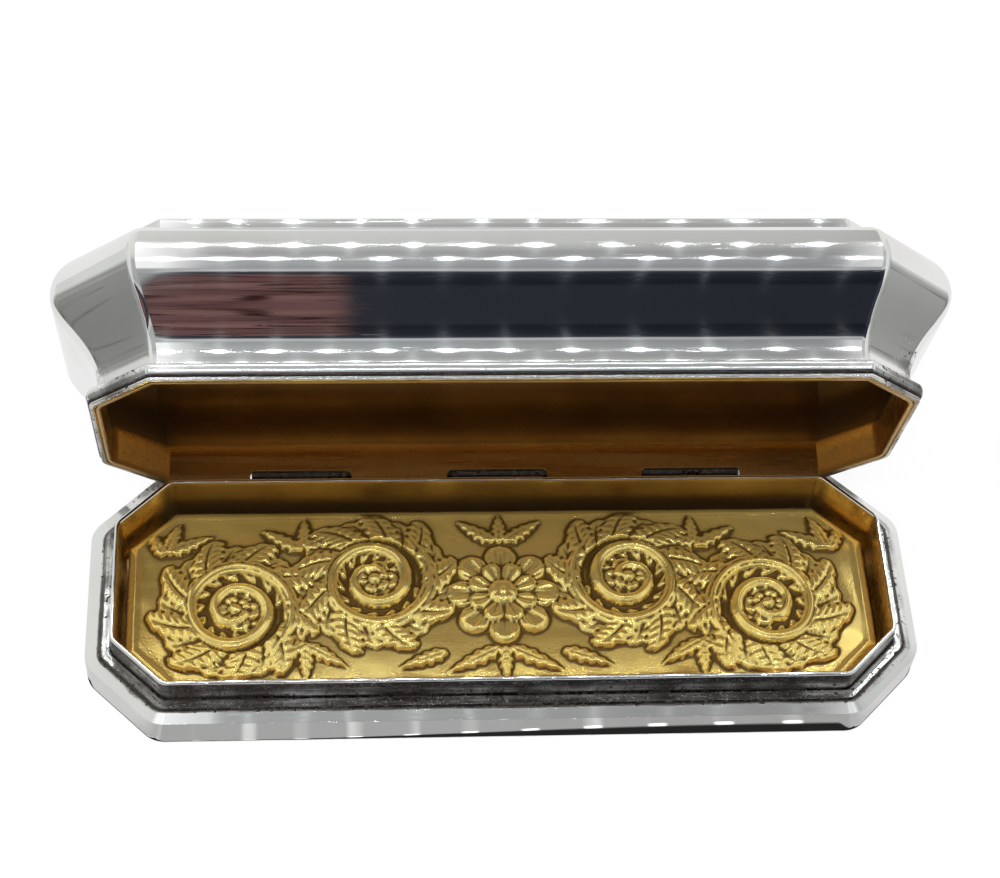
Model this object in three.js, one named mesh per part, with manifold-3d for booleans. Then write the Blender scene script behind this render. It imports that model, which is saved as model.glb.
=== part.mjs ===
// A hinged silver box with eight sides, shown open: a shallow base with a gilt relief floor,
// and a deep lid with an ogee wall. Millimetres, +Z up, +X along the length, the hinge at +Y.
// The origin is the middle of the underside.

import * as THREE from 'three';
import Module from 'manifold-3d';

const wasm = await Module();
wasm.setup();

// Plan of the box: the bezel's inside is the outline that every other outline is offset from.
const BEZEL_LENGTH = 100;
const BEZEL_WIDTH = 30;
const CORNER_LEG = 6.45;

// Base levels and walls
const PLATE_THICK = 0.6;
const SKIRT_THICK = 0.6;
const SKIRT_OUT = 3.95;
const SKIRT_FLANGE_HEIGHT = 5.1;
const SKIRT_EDGE = 0.2;
const SKIRT_FOOT_EDGE = 0.35;
const SKIRT_FOOT_TURN = 1.1;
const LEDGE_HEIGHT = 0.3;
const LEDGE_OUT = 2.15;
const LEDGE_TOP_OUT = 1.9;
const BEZEL_THICK = 0.6;
const BEZEL_RISE = 3.75;

// Floor panel
const PANEL_GAP = 0.9;
const PANEL_THICK = 0.6;
const PANEL_HEIGHT = 4.1;
const PANEL_ROLL = 0.9;
const RELIEF = 1.5;
const ROSETTE_RADIUS = 7.6;
const ROSETTE_PETALS = 8;
const VOLUTE_RADIUS = 7.4;
const VOLUTE_PITCH = 18.2;
const VOLUTE_SWAY = 2.2;
const VOLUTE_TURNS = 2;
const STEM_WIDTH = 1.25;
const LEAF_COUNT = 9;
const LEAF_LENGTH = 3.6;
const BUD_RADIUS = 2.6;
const BUD_PETALS = 5;
const PANEL_COLUMNS = 92;
const PANEL_ROWS = 27;

// Lid
const LID_SEAT_GAP = 0.2;
const LID_CLEAR = 0.3;
const LID_THICK = 0.55;
const NECK_HEIGHT = 3.35;
const WIDE_OUT = 7.45;
const WIDE_HEIGHT = 14.6;
const SHOULDER_IN = 3.75;
const SHOULDER_RISE = 5.0;
const SHOULDER_TURN = 0.3;
const STEP_OUT = 0.4;
const STEP_THICK = 0.7;
const STEP_HEIGHT = 3.45;
const RIM_HEIGHT = 2.25;
const RIM_OUT = 1.2;
const RIM_LIP_HEIGHT = 0.45;
const RIM_LIP_OUT = 0.75;
const RIM_GROOVE_OUT = 0.5;
const RIM_GROOVE_HEIGHT = 0.12;

// Hinge
const KNUCKLE_COUNT = 5;
const KNUCKLE_LENGTH = 13.2;
const KNUCKLE_RADIUS = 0.85;
const KNUCKLE_GAP = 0.2;
const PIN_RADIUS = 0.42;
const PIN_CLEAR = 0.08;
const HINGE_CLEAR = 0.12;
const NOTCH_CLEAR = 0.25;
const NOTCH_HEIGHT = 1.35;
const NOTCH_ROUND = 0.7;
const WALL_LEFT_AT_HINGE = 0.28;
const BEARER_REACH = 0.75;
const BEARER_HEIGHT = 2.3;
const BEARER_SEAT = 4.2;
const LID_STOP_ANGLE = 40;
const STOP_GAP_ANGLE = 4;
const OPEN_ANGLE = 76.9;

const SEAM = 0.04;
const SIDES = 36;

// Derived places
const halfLength = BEZEL_LENGTH / 2;
const halfWidth = BEZEL_WIDTH / 2;
const ledgeTop = SKIRT_FLANGE_HEIGHT + LEDGE_HEIGHT;
const bezelTop = ledgeTop + BEZEL_RISE;
const mouth = ledgeTop + LID_SEAT_GAP;
const mouthIn = BEZEL_THICK + LID_CLEAR;
const neckOut = mouthIn + LID_THICK;
const bore = PIN_RADIUS + PIN_CLEAR;
const channel = KNUCKLE_RADIUS + HINGE_CLEAR;
const hingeOut = mouthIn + WALL_LEFT_AT_HINGE + channel;
const hingeY = halfWidth + hingeOut;
const hingeLength = KNUCKLE_COUNT * KNUCKLE_LENGTH;
const shoulderTop = WIDE_HEIGHT + SHOULDER_RISE;

// Eight corners of the outline offset outwards by a distance, counter-clockwise from above.
function octagon(out) {
  const a = halfLength + out;
  const b = halfWidth + out;
  const c = CORNER_LEG + out * (2 - Math.SQRT2);
  return [
    [a, -b + c], [a, b - c], [a - c, b], [-a + c, b],
    [-a, b - c], [-a, -b + c], [-a + c, -b], [a - c, -b],
  ];
}

// Closed geometry from points and triangles, turned to face out.
function closed(points, faces) {
  const geometry = new THREE.BufferGeometry();
  geometry.setAttribute('position', new THREE.Float32BufferAttribute(points.flat(), 3));
  let volume = 0;
  const [a, b, c] = [new THREE.Vector3(), new THREE.Vector3(), new THREE.Vector3()];
  for (const face of faces) {
    a.fromArray(points[face[0]]);
    b.fromArray(points[face[1]]);
    c.fromArray(points[face[2]]);
    volume += a.dot(b.cross(c));
  }
  geometry.setIndex((volume > 0 ? faces : faces.map(([i, j, k]) => [i, k, j])).flat());
  return geometry;
}

// A closed section, given as offset and height pairs, led round the outline with mitred corners.
function ring(section) {
  const points = [];
  const faces = [];
  const n = section.length;
  const loops = section.map(([out]) => octagon(out));
  for (let i = 0; i < 8; i += 1) {
    for (let j = 0; j < n; j += 1) {
      points.push([...loops[j][i], section[j][1]]);
      const p = i * n + j;
      const q = i * n + ((j + 1) % n);
      const r = ((i + 1) % 8) * n + j;
      const s = ((i + 1) % 8) * n + ((j + 1) % n);
      faces.push([p, r, s], [p, s, q]);
    }
  }
  return closed(points, faces);
}

// A flat plate of the outline's shape.
function plate(out, low, high) {
  const loop = octagon(out);
  const points = [...loop.map((p) => [...p, low]), ...loop.map((p) => [...p, high])];
  const faces = [];
  for (let i = 0; i < 8; i += 1) {
    const k = (i + 1) % 8;
    faces.push([i, k, 8 + k], [i, 8 + k, 8 + i]);
    if (i > 0 && i < 7) {
      faces.push([0, i + 1, i], [8, 8 + i, 8 + i + 1]);
    }
  }
  return closed(points, faces);
}

// A section in the YZ plane, given round the hinge axis, drawn out along X.
function bar(section, from, to) {
  const flat = section.map((p) => new THREE.Vector2(...p));
  if (THREE.ShapeUtils.area(flat) < 0) {
    flat.reverse();
  }
  const n = flat.length;
  const at = (x) => flat.map((p) => [x, hingeY + p.x, mouth + p.y]);
  const points = [...at(from), ...at(to)];
  const faces = THREE.ShapeUtils.triangulateShape(flat, [])
    .flatMap(([i, j, k]) => [[i, k, j], [n + i, n + j, n + k]]);
  for (let i = 0; i < n; i += 1) {
    const k = (i + 1) % n;
    faces.push([i, k, n + k], [i, n + k, n + i]);
  }
  return closed(points, faces);
}

// Points on a circle round the hinge axis, in degrees from straight back, positive upwards.
function arc(radius, from, to, steps) {
  return Array.from({ length: steps + 1 }, (_, i) => {
    const t = THREE.MathUtils.degToRad(from + ((to - from) * i) / steps);
    return [radius * Math.cos(t), radius * Math.sin(t)];
  });
}

// A rod or tube along the hinge axis.
function rod(radius, from, to) {
  return bar(arc(radius, 0, 360, SIDES).slice(0, SIDES), from, to);
}

function tube(outer, inner, from, to) {
  const points = [];
  const faces = [];
  const section = [[from, outer], [to, outer], [to, inner], [from, inner]];
  for (let i = 0; i < SIDES; i += 1) {
    const t = (2 * Math.PI * i) / SIDES;
    section.forEach(([x, r], j) => {
      points.push([x, hingeY + r * Math.cos(t), mouth + r * Math.sin(t)]);
      const p = i * 4 + j;
      const q = i * 4 + ((j + 1) % 4);
      const u = ((i + 1) % SIDES) * 4 + j;
      const v = ((i + 1) % SIDES) * 4 + ((j + 1) % 4);
      faces.push([p, u, v], [p, v, q]);
    });
  }
  return closed(points, faces);
}

// A box between two corners.
function block(low, high) {
  const size = high.map((h, i) => h - low[i]);
  const geometry = new THREE.BoxGeometry(...size);
  geometry.translate(...high.map((h, i) => (h + low[i]) / 2));
  const points = [];
  const seen = new Map();
  const position = geometry.getAttribute('position');
  const order = Array.from({ length: position.count }, (_, i) => {
    const p = [position.getX(i), position.getY(i), position.getZ(i)];
    const key = p.map((x) => x.toFixed(6)).join();
    if (!seen.has(key)) {
      seen.set(key, points.push(p) - 1);
    }
    return seen.get(key);
  });
  const index = Array.from(geometry.getIndex().array, (i) => order[i]);
  const faces = [];
  for (let i = 0; i < index.length; i += 3) {
    faces.push(index.slice(i, i + 3));
  }
  return closed(points, faces);
}

function solid(geometry) {
  return new wasm.Manifold(new wasm.Mesh({
    numProp: 3,
    vertProperties: new Float32Array(geometry.getAttribute('position').array),
    triVerts: new Uint32Array(geometry.getIndex().array),
  }));
}

// The first geometry less all the others.
function cut(geometry, ...tools) {
  const rest = tools.reduce((body, tool) => body.subtract(solid(tool)), solid(geometry));
  const mesh = rest.getMesh();
  const made = new THREE.BufferGeometry();
  made.setAttribute('position', new THREE.Float32BufferAttribute(mesh.vertProperties, 3));
  made.setIndex(Array.from(mesh.triVerts));
  return made;
}

// An open line of offset and height pairs made into a sheet of even thickness on its right side.
function sheet(line, thick) {
  const back = line.map((p, i) => {
    const before = line[Math.max(i - 1, 0)];
    const after = line[Math.min(i + 1, line.length - 1)];
    const normal = (from, to) => {
      const d = Math.hypot(to[0] - from[0], to[1] - from[1]);
      return [(to[1] - from[1]) / d, -(to[0] - from[0]) / d];
    };
    const m = i > 0 ? normal(before, p) : normal(p, after);
    const n = i < line.length - 1 ? normal(p, after) : m;
    const grow = thick / (1 + m[0] * n[0] + m[1] * n[1]);
    return [p[0] - (m[0] + n[0]) * grow, p[1] - (m[1] + n[1]) * grow];
  });
  return [...line, ...back.reverse()];
}

// Skirt: a foot turned in, an upright side, then a flat flange that reaches the bezel, with its
// outer edges broken. Along the hinge it is cut down to the seat of the bearer.
const footEnd = SKIRT_OUT - SKIRT_FOOT_TURN;
const skirtIn = SKIRT_OUT - SKIRT_THICK;
const hingeRoom = hingeLength / 2 + NOTCH_CLEAR;
const skirt = cut(
  ring([
    [footEnd, 0],
    [SKIRT_OUT - SKIRT_FOOT_EDGE, 0],
    [SKIRT_OUT, SKIRT_FOOT_EDGE],
    [SKIRT_OUT, SKIRT_FLANGE_HEIGHT - SKIRT_EDGE],
    [SKIRT_OUT - SKIRT_EDGE, SKIRT_FLANGE_HEIGHT],
    [BEZEL_THICK + SEAM, SKIRT_FLANGE_HEIGHT],
    [BEZEL_THICK + SEAM, SKIRT_FLANGE_HEIGHT - SKIRT_THICK],
    [skirtIn, SKIRT_FLANGE_HEIGHT - SKIRT_THICK],
    [skirtIn, SKIRT_THICK],
    [footEnd, SKIRT_THICK],
  ]),
  block([-hingeRoom, 0, BEARER_SEAT], [hingeRoom, halfWidth + WIDE_OUT, mouth]),
);

const basePlate = plate(footEnd - SEAM, 0, PLATE_THICK);

const bezel = ring([
  [0, PLATE_THICK],
  [BEZEL_THICK, PLATE_THICK],
  [BEZEL_THICK, bezelTop],
  [0, bezelTop],
]);

// Ledge: a low strip on the flange, left out where the hinge's bearer stands.
const ledge = cut(
  ring([
    [BEZEL_THICK + SEAM, SKIRT_FLANGE_HEIGHT + SEAM],
    [LEDGE_OUT, SKIRT_FLANGE_HEIGHT + SEAM],
    [LEDGE_TOP_OUT, ledgeTop],
    [BEZEL_THICK + SEAM, ledgeTop],
  ]),
  block([-hingeRoom, 0, 0], [hingeRoom, halfWidth + SKIRT_OUT, mouth]),
);

// Relief of the floor panel: a rosette between running volutes with leaves, all from one formula.
function dome(t) {
  return t < 1 ? Math.sqrt(1 - t * t) : 0;
}

function flower(x, y, radius, petals, turn) {
  const angle = Math.atan2(y, x) - turn;
  const lobe = Math.abs(Math.cos((petals * angle) / 2));
  const edge = radius * (0.7 + 0.3 * Math.sqrt(lobe));
  const r = Math.hypot(x, y);
  const petal = dome(r / edge) * (0.45 + 0.55 * lobe);
  return Math.max(0.75 * petal, dome(r / (0.32 * radius)));
}

function volute(x, y, hand, turn) {
  const r = Math.hypot(x, y);
  let angle = hand * (Math.atan2(y, x) - turn);
  angle -= 2 * Math.PI * Math.floor(angle / (2 * Math.PI));
  let height = 0.9 * flower(x, y, BUD_RADIUS, BUD_PETALS, turn);
  for (let k = 0; k < VOLUTE_TURNS; k += 1) {
    const share = 1 - (angle / (2 * Math.PI) + k) / (VOLUTE_TURNS + 0.3);
    const wide = STEM_WIDTH * (0.55 + 0.45 * share);
    height = Math.max(height, 0.7 * dome(Math.abs(r - VOLUTE_RADIUS * share) / wide));
  }
  const out = (r - VOLUTE_RADIUS - STEM_WIDTH / 2) / LEAF_LENGTH;
  const lobe = Math.abs(Math.cos((LEAF_COUNT * angle) / 2 + 0.8 * out));
  if (out > 0 && out < 1) {
    height = Math.max(height, 0.62 * lobe * Math.sqrt(1 - out) * Math.min(1, 4 * out + 0.4));
  }
  return height;
}

function reliefAt(x, y) {
  const side = Math.abs(x);
  let height = flower(x, y, ROSETTE_RADIUS, ROSETTE_PETALS, 0);
  for (let k = 0; k < 2; k += 1) {
    const hand = k % 2 ? -1 : 1;
    const cx = ROSETTE_RADIUS + VOLUTE_RADIUS + LEAF_LENGTH / 2 + k * VOLUTE_PITCH;
    height = Math.max(height, volute(side - cx, y - hand * VOLUTE_SWAY, hand, Math.PI));
  }
  return RELIEF * height;
}

// Floor panel: a sheet with its edge rolled down to the plate, the relief raised on its top.
const panelLength = halfLength - PANEL_GAP;
const panelWidth = halfWidth - PANEL_GAP;
const panelLeg = CORNER_LEG - PANEL_GAP * (2 - Math.SQRT2);
function panelHalf(y, inset) {
  const leg = CORNER_LEG - (PANEL_GAP + inset) * (2 - Math.SQRT2);
  return panelLength - inset - Math.max(0, Math.abs(y) - (panelWidth - inset - leg));
}
function panelRow(j, inset) {
  const straight = panelWidth - panelLeg;
  const ends = 5;
  const t = j - (PANEL_ROWS - 1) / 2;
  const middle = (PANEL_ROWS - 1) / 2 - ends;
  const far = Math.max(0, Math.abs(t) - middle) / ends;
  const y = Math.abs(t) <= middle ? (t / middle) * straight : Math.sign(t) * (straight + far * panelLeg);
  return y * ((panelWidth - inset) / panelWidth);
}
function floorPanel() {
  const points = [];
  const faces = [];
  const rim = [];
  for (let j = 0; j < PANEL_ROWS; j += 1) {
    const y = panelRow(j, 0);
    for (let i = 0; i < PANEL_COLUMNS; i += 1) {
      const x = panelHalf(y, 0) * ((2 * i) / (PANEL_COLUMNS - 1) - 1);
      const edge = Math.min(panelHalf(y, 0) - Math.abs(x), panelWidth - Math.abs(y));
      const roll = 1 - Math.min(1, edge / PANEL_ROLL);
      const fade = Math.min(1, edge / (2 * PANEL_ROLL));
      points.push([x, y, PANEL_HEIGHT - PANEL_ROLL * 0.5 * roll * roll + fade * reliefAt(x, y)]);
      if (i > 0 && j > 0) {
        const p = points.length - 1;
        const q = p - PANEL_COLUMNS;
        faces.push([q - 1, q, p], [q - 1, p, p - 1]);
      }
    }
  }
  const at = (i, j) => j * PANEL_COLUMNS + i;
  for (let i = 0; i < PANEL_COLUMNS - 1; i += 1) {
    rim.push(at(i, 0));
  }
  for (let j = 0; j < PANEL_ROWS - 1; j += 1) {
    rim.push(at(PANEL_COLUMNS - 1, j));
  }
  for (let i = PANEL_COLUMNS - 1; i > 0; i -= 1) {
    rim.push(at(i, PANEL_ROWS - 1));
  }
  for (let j = PANEL_ROWS - 1; j > 0; j -= 1) {
    rim.push(at(0, j));
  }
  const n = rim.length;
  const base = points.length;
  const scale = [1 - PANEL_THICK / panelLength, 1 - PANEL_THICK / panelWidth];
  const under = PANEL_HEIGHT - PANEL_ROLL * 0.5 - PANEL_THICK;
  const loops = [[1, 1, PLATE_THICK], [...scale, PLATE_THICK], [...scale, under]];
  for (const [sx, sy, z] of loops) {
    for (const r of rim) {
      points.push([points[r][0] * sx, points[r][1] * sy, z]);
    }
  }
  const middle = points.push([0, 0, under]) - 1;
  for (let k = 0; k < n; k += 1) {
    const m = (k + 1) % n;
    const rows = [[rim[k], rim[m]], ...loops.map((_, l) => [base + l * n + k, base + l * n + m])];
    for (let l = 0; l < loops.length; l += 1) {
      const [p, q] = rows[l];
      const [r, s] = rows[l + 1];
      faces.push([p, r, s], [p, s, q]);
    }
    faces.push([rows[loops.length][0], middle, rows[loops.length][1]]);
  }
  return closed(points, faces);
}

// Lid wall: straight neck at the mouth, ogee to the widest line, round shoulder to the top.
const wallLine = [[neckOut, mouth]];
const ogeeSteps = 18;
for (let i = 0; i <= ogeeSteps; i += 1) {
  const t = i / ogeeSteps;
  wallLine.push([
    neckOut + ((WIDE_OUT - neckOut) * (1 - Math.cos(Math.PI * t))) / 2,
    mouth + NECK_HEIGHT + (WIDE_HEIGHT - NECK_HEIGHT) * t,
  ]);
}
const shoulderSteps = 12;
for (let i = 1; i <= shoulderSteps; i += 1) {
  const t = (i / shoulderSteps) * (Math.PI / 2);
  wallLine.push([
    WIDE_OUT - SHOULDER_IN * (1 - Math.cos(t)),
    mouth + WIDE_HEIGHT + SHOULDER_RISE * Math.sin(t),
  ]);
}
const shoulderEdge = WIDE_OUT - SHOULDER_IN - SHOULDER_TURN;
wallLine.push([shoulderEdge, mouth + shoulderTop]);
const bodies = KNUCKLE_COUNT;
const knuckleFrom = (i) => -hingeLength / 2 + i * KNUCKLE_LENGTH + (i ? KNUCKLE_GAP / 2 : 0);
const knuckleTo = (i) => -hingeLength / 2 + (i + 1) * KNUCKLE_LENGTH - (i < bodies - 1 ? KNUCKLE_GAP / 2 : 0);

// A notch in the lid's back wall with round upper corners, for one knuckle of the base.
function notch(i) {
  const low = knuckleFrom(i) - NOTCH_CLEAR;
  const high = knuckleTo(i) + NOTCH_CLEAR;
  const corner = (x, turn) => arc(NOTCH_ROUND, turn, turn + 90, 5)
    .map(([u, w]) => [x + u, NOTCH_HEIGHT - NOTCH_ROUND + w]);
  const outline = [
    [high, -channel],
    ...corner(high - NOTCH_ROUND, 0),
    ...corner(low + NOTCH_ROUND, 90),
    [low, -channel],
  ];
  const shape = new THREE.Shape(outline.map((p) => new THREE.Vector2(...p)));
  const n = outline.length;
  const at = (y) => outline.map(([x, w]) => [x, y, mouth + w]);
  const points = [...at(halfWidth), ...at(hingeY)];
  const faces = THREE.ShapeUtils.triangulateShape(shape.getPoints(), [])
    .flatMap(([a, b, c]) => [[a, b, c], [n + a, n + c, n + b]]);
  for (let k = 0; k < n; k += 1) {
    const m = (k + 1) % n;
    faces.push([k, n + m, m], [k, n + k, n + m]);
  }
  return closed(points, faces);
}
const baseTurns = [0, 2, 4];
const lidTurns = [1, 3];
const lidWall = cut(
  ring(sheet(wallLine, LID_THICK)),
  rod(channel, -hingeRoom, hingeRoom),
  ...baseTurns.map(notch),
);

// Rim: a lip, a groove and a bead on the outside of the mouth, left out along the hinge.
const rimIn = neckOut + SEAM;
const beadLow = RIM_LIP_HEIGHT + RIM_GROOVE_HEIGHT;
const beadSteps = 10;
const bead = [];
for (let i = 0; i <= beadSteps; i += 1) {
  const t = Math.PI * (i / beadSteps - 0.5);
  bead.push([
    rimIn + RIM_GROOVE_OUT + (RIM_OUT - RIM_GROOVE_OUT) * Math.cos(t),
    mouth + beadLow + ((RIM_HEIGHT - beadLow) * (1 + Math.sin(t))) / 2,
  ]);
}
const rim = cut(
  ring([
    [rimIn, mouth],
    [rimIn + RIM_LIP_OUT, mouth],
    [rimIn + RIM_LIP_OUT, mouth + RIM_LIP_HEIGHT],
    [rimIn + RIM_GROOVE_OUT, mouth + RIM_LIP_HEIGHT + RIM_GROOVE_HEIGHT / 2],
    ...bead,
    [rimIn, mouth + RIM_HEIGHT],
  ]),
  block([-hingeRoom, 0, 0], [hingeRoom, halfWidth + WIDE_OUT, mouth + shoulderTop]),
);

// Top sheet inside the shoulder's edge, and the step that stands on it.
const top = plate(shoulderEdge - SEAM, mouth + shoulderTop - LID_THICK, mouth + shoulderTop);
const step = ring([
  [STEP_OUT - STEP_THICK, mouth + shoulderTop],
  [STEP_OUT, mouth + shoulderTop],
  [STEP_OUT, mouth + shoulderTop + STEP_HEIGHT],
  [STEP_OUT - STEP_THICK, mouth + shoulderTop + STEP_HEIGHT],
]);

// Bearers: grooved strips under and over the tube. Their radial faces meet when the lid is open.
const polar = (radius, angle) => arc(radius, angle, angle, 1)[0];
const baseStop = LID_STOP_ANGLE - OPEN_ANGLE - STOP_GAP_ANGLE;
const bearerIn = BEZEL_THICK + SEAM - hingeOut;
const bearerFoot = BEARER_SEAT + SEAM - mouth;
const grooveEnd = 180 + THREE.MathUtils.radToDeg(Math.asin(LID_SEAT_GAP / channel));
const baseBearer = bar([
  [bearerIn, bearerFoot],
  [SKIRT_OUT - hingeOut, bearerFoot],
  polar(channel + BEARER_REACH, baseStop),
  ...arc(channel, baseStop, grooveEnd - 360, 14),
  [bearerIn, -LID_SEAT_GAP],
], -hingeLength / 2, hingeLength / 2);
const wallSide = rimIn - hingeOut;
const wallAngle = THREE.MathUtils.radToDeg(Math.acos(wallSide / channel));
const lidBearer = bar([
  ...arc(channel, LID_STOP_ANGLE, wallAngle, 10),
  [wallSide, BEARER_HEIGHT],
  [wallSide + BEARER_REACH, BEARER_HEIGHT],
  polar(channel + BEARER_REACH, LID_STOP_ANGLE + 12),
  polar(channel + BEARER_REACH, LID_STOP_ANGLE),
], -hingeLength / 2, hingeLength / 2);

const pin = rod(PIN_RADIUS, -hingeLength / 2, hingeLength / 2);
const knuckle = (i) => tube(KNUCKLE_RADIUS, bore, knuckleFrom(i), knuckleTo(i));

// Assembly: the lid's pieces are drawn shut, then turned open about the hinge axis.
const silver = (shade) => new THREE.MeshStandardMaterial({
  color: new THREE.Color(shade), metalness: 1, roughness: 0.16,
});
const box = new THREE.Group();
box.name = 'hinged_box';
const shut = new THREE.Matrix4().makeTranslation(0, -hingeY, -mouth);
const open = new THREE.Matrix4().makeTranslation(0, hingeY, mouth)
  .multiply(new THREE.Matrix4().makeRotationX(-THREE.MathUtils.degToRad(OPEN_ANGLE)))
  .multiply(shut);
function add(name, geometry, shade, onLid) {
  if (onLid) {
    geometry.applyMatrix4(open);
  }
  geometry.computeVertexNormals();
  const mesh = new THREE.Mesh(geometry, silver(shade));
  mesh.name = name;
  box.add(mesh);
}

add('base_plate', basePlate, 0xbfc2c6, false);
add('base_skirt', skirt, 0xd2d4d6, false);
add('base_ledge', ledge, 0xc8cacd, false);
add('base_bezel', bezel, 0xd8d5cc, false);
add('floor_panel', floorPanel(), 0xd0a548, false);
add('base_bearer', baseBearer, 0xb9bcc0, false);
baseTurns.forEach((i, n) => add(`base_knuckle_${n + 1}`, knuckle(i), 0xc3c6ca, false));
add('hinge_pin', pin, 0xa9adb2, false);
add('lid_wall', lidWall, 0xcdd0d3, true);
add('lid_rim', rim, 0xd6d8da, true);
add('lid_top', top, 0xc6c9cc, true);
add('lid_step', step, 0xd0d2d5, true);
add('lid_bearer', lidBearer, 0xb6b9bd, true);
lidTurns.forEach((i, n) => add(`lid_knuckle_${n + 1}`, knuckle(i), 0xc0c3c7, true));

export default box;
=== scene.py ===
"""Looks of a hinged eight-sided silver box with a gilt relief floor, open at rest.

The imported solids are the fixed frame. Each sheet and wire that shows is replaced by a finer
surface of the same section. Sizes are in millimetres until a mesh is written in metres.
"""

import logging
import math
from dataclasses import dataclass
from enum import Enum, IntEnum
from typing import Any, Sequence

import bpy
import numpy as np
from mathutils import Matrix, Vector


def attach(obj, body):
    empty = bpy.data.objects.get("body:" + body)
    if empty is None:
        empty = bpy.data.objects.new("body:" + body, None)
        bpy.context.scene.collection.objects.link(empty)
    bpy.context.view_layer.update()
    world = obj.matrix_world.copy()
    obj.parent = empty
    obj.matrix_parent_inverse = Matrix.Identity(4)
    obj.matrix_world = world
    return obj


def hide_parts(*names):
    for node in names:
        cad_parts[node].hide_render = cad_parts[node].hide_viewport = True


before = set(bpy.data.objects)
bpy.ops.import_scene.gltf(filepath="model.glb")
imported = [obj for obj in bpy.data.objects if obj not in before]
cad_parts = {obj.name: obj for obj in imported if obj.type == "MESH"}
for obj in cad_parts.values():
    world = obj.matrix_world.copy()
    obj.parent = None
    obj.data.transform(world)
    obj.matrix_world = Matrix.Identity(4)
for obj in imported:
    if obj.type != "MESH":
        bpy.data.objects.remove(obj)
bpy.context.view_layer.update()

MM = 0.001
TINY = 0.15
LOG = logging.getLogger("silver_box")
Rgb = tuple[float, float, float]


class Body(Enum):
    """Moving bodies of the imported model."""

    BASE = "base"
    LID = "lid"


class Metal(IntEnum):
    """Finish numbers of a face."""

    SILVER = 0
    GILT = 1


def smooth(value: np.ndarray, low: float, high: float) -> np.ndarray:
    """Rises from 0 at low to 1 at high as 3 t squared less 2 t cubed."""
    t = np.clip((value - low) / (high - low), 0.0, 1.0)
    return t * t * (3.0 - 2.0 * t)


def dome(t: np.ndarray) -> np.ndarray:
    """Half circle over t from -1 to 1, and 0 outside it."""
    return np.sqrt(np.clip(1.0 - t * t, 0.0, None))


def bell(t: np.ndarray) -> np.ndarray:
    """Bell curve, 1 at t of 0, as e to the power of minus t squared."""
    return np.exp(-t * t)


def ripple(x: np.ndarray, y: np.ndarray, z: np.ndarray, pitch: float) -> np.ndarray:
    """Uneven ripple from -1 to 1 as the mean of four sines of that pitch that run across each other.

    Args:
        x: Places along the length in millimetres.
        y: Places along the depth in millimetres.
        z: Heights in millimetres.
        pitch: Wave length in millimetres.

    Returns:
        The ripple at each point.
    """
    k = 2.0 * math.pi / pitch
    waves = (
        np.sin(k * (0.83 * x + 0.41 * y + 0.37 * z) + 0.7)
        + np.sin(k * (-0.52 * x + 1.13 * y - 0.61 * z) + 2.1)
        + np.sin(k * (0.29 * x - 0.47 * y + 1.31 * z) + 4.0)
        + np.sin(k * (1.47 * x + 0.93 * y + 0.78 * z) + 5.2)
    )
    return waves / 4.0


def rounded(points: Sequence[tuple[float, float, float]], steps: int = 6) -> np.ndarray:
    """Closed section whose corners are round.

    A corner of radius r becomes an arc that touches both its edges, with one more point on each
    edge close to the arc, so that flat parts shade flat.

    Args:
        points: Offset, height and radius of each corner in turn.
        steps: Parts of each arc.

    Returns:
        Offset and height pairs, shape (M, 2).
    """
    corner = np.array([p[:2] for p in points], float)
    made = []
    for i, (_, _, radius) in enumerate(points):
        before, here, after = corner[i - 1], corner[i], corner[(i + 1) % len(points)]
        to_before, to_after = before - here, after - here
        room = min(np.linalg.norm(to_before), np.linalg.norm(to_after)) * 0.45
        a = to_before / np.linalg.norm(to_before)
        b = to_after / np.linalg.norm(to_after)
        half = math.acos(float(np.clip(a @ b, -1.0, 1.0))) / 2.0
        if radius <= 0.0 or half > 1.5:
            made.append(here[None])
            continue
        reach = min(radius / math.tan(half), room)
        size = reach * math.tan(half)
        centre = here + (a + b) / np.linalg.norm(a + b) * size / math.sin(half)
        start, stop = here + a * reach - centre, here + b * reach - centre
        t = np.linspace(0.0, 1.0, steps + 1)[:, None]
        turn = math.pi - 2.0 * half
        arc = (np.sin((1.0 - t) * turn) * start + np.sin(t * turn) * stop) / math.sin(turn)
        side = min(0.35 * size, 0.5 * (room - reach) + 1e-4)
        made.append((here + a * (reach + side))[None])
        made.append(centre + arc)
        made.append((here + b * (reach + side))[None])
    return np.concatenate(made)


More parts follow.
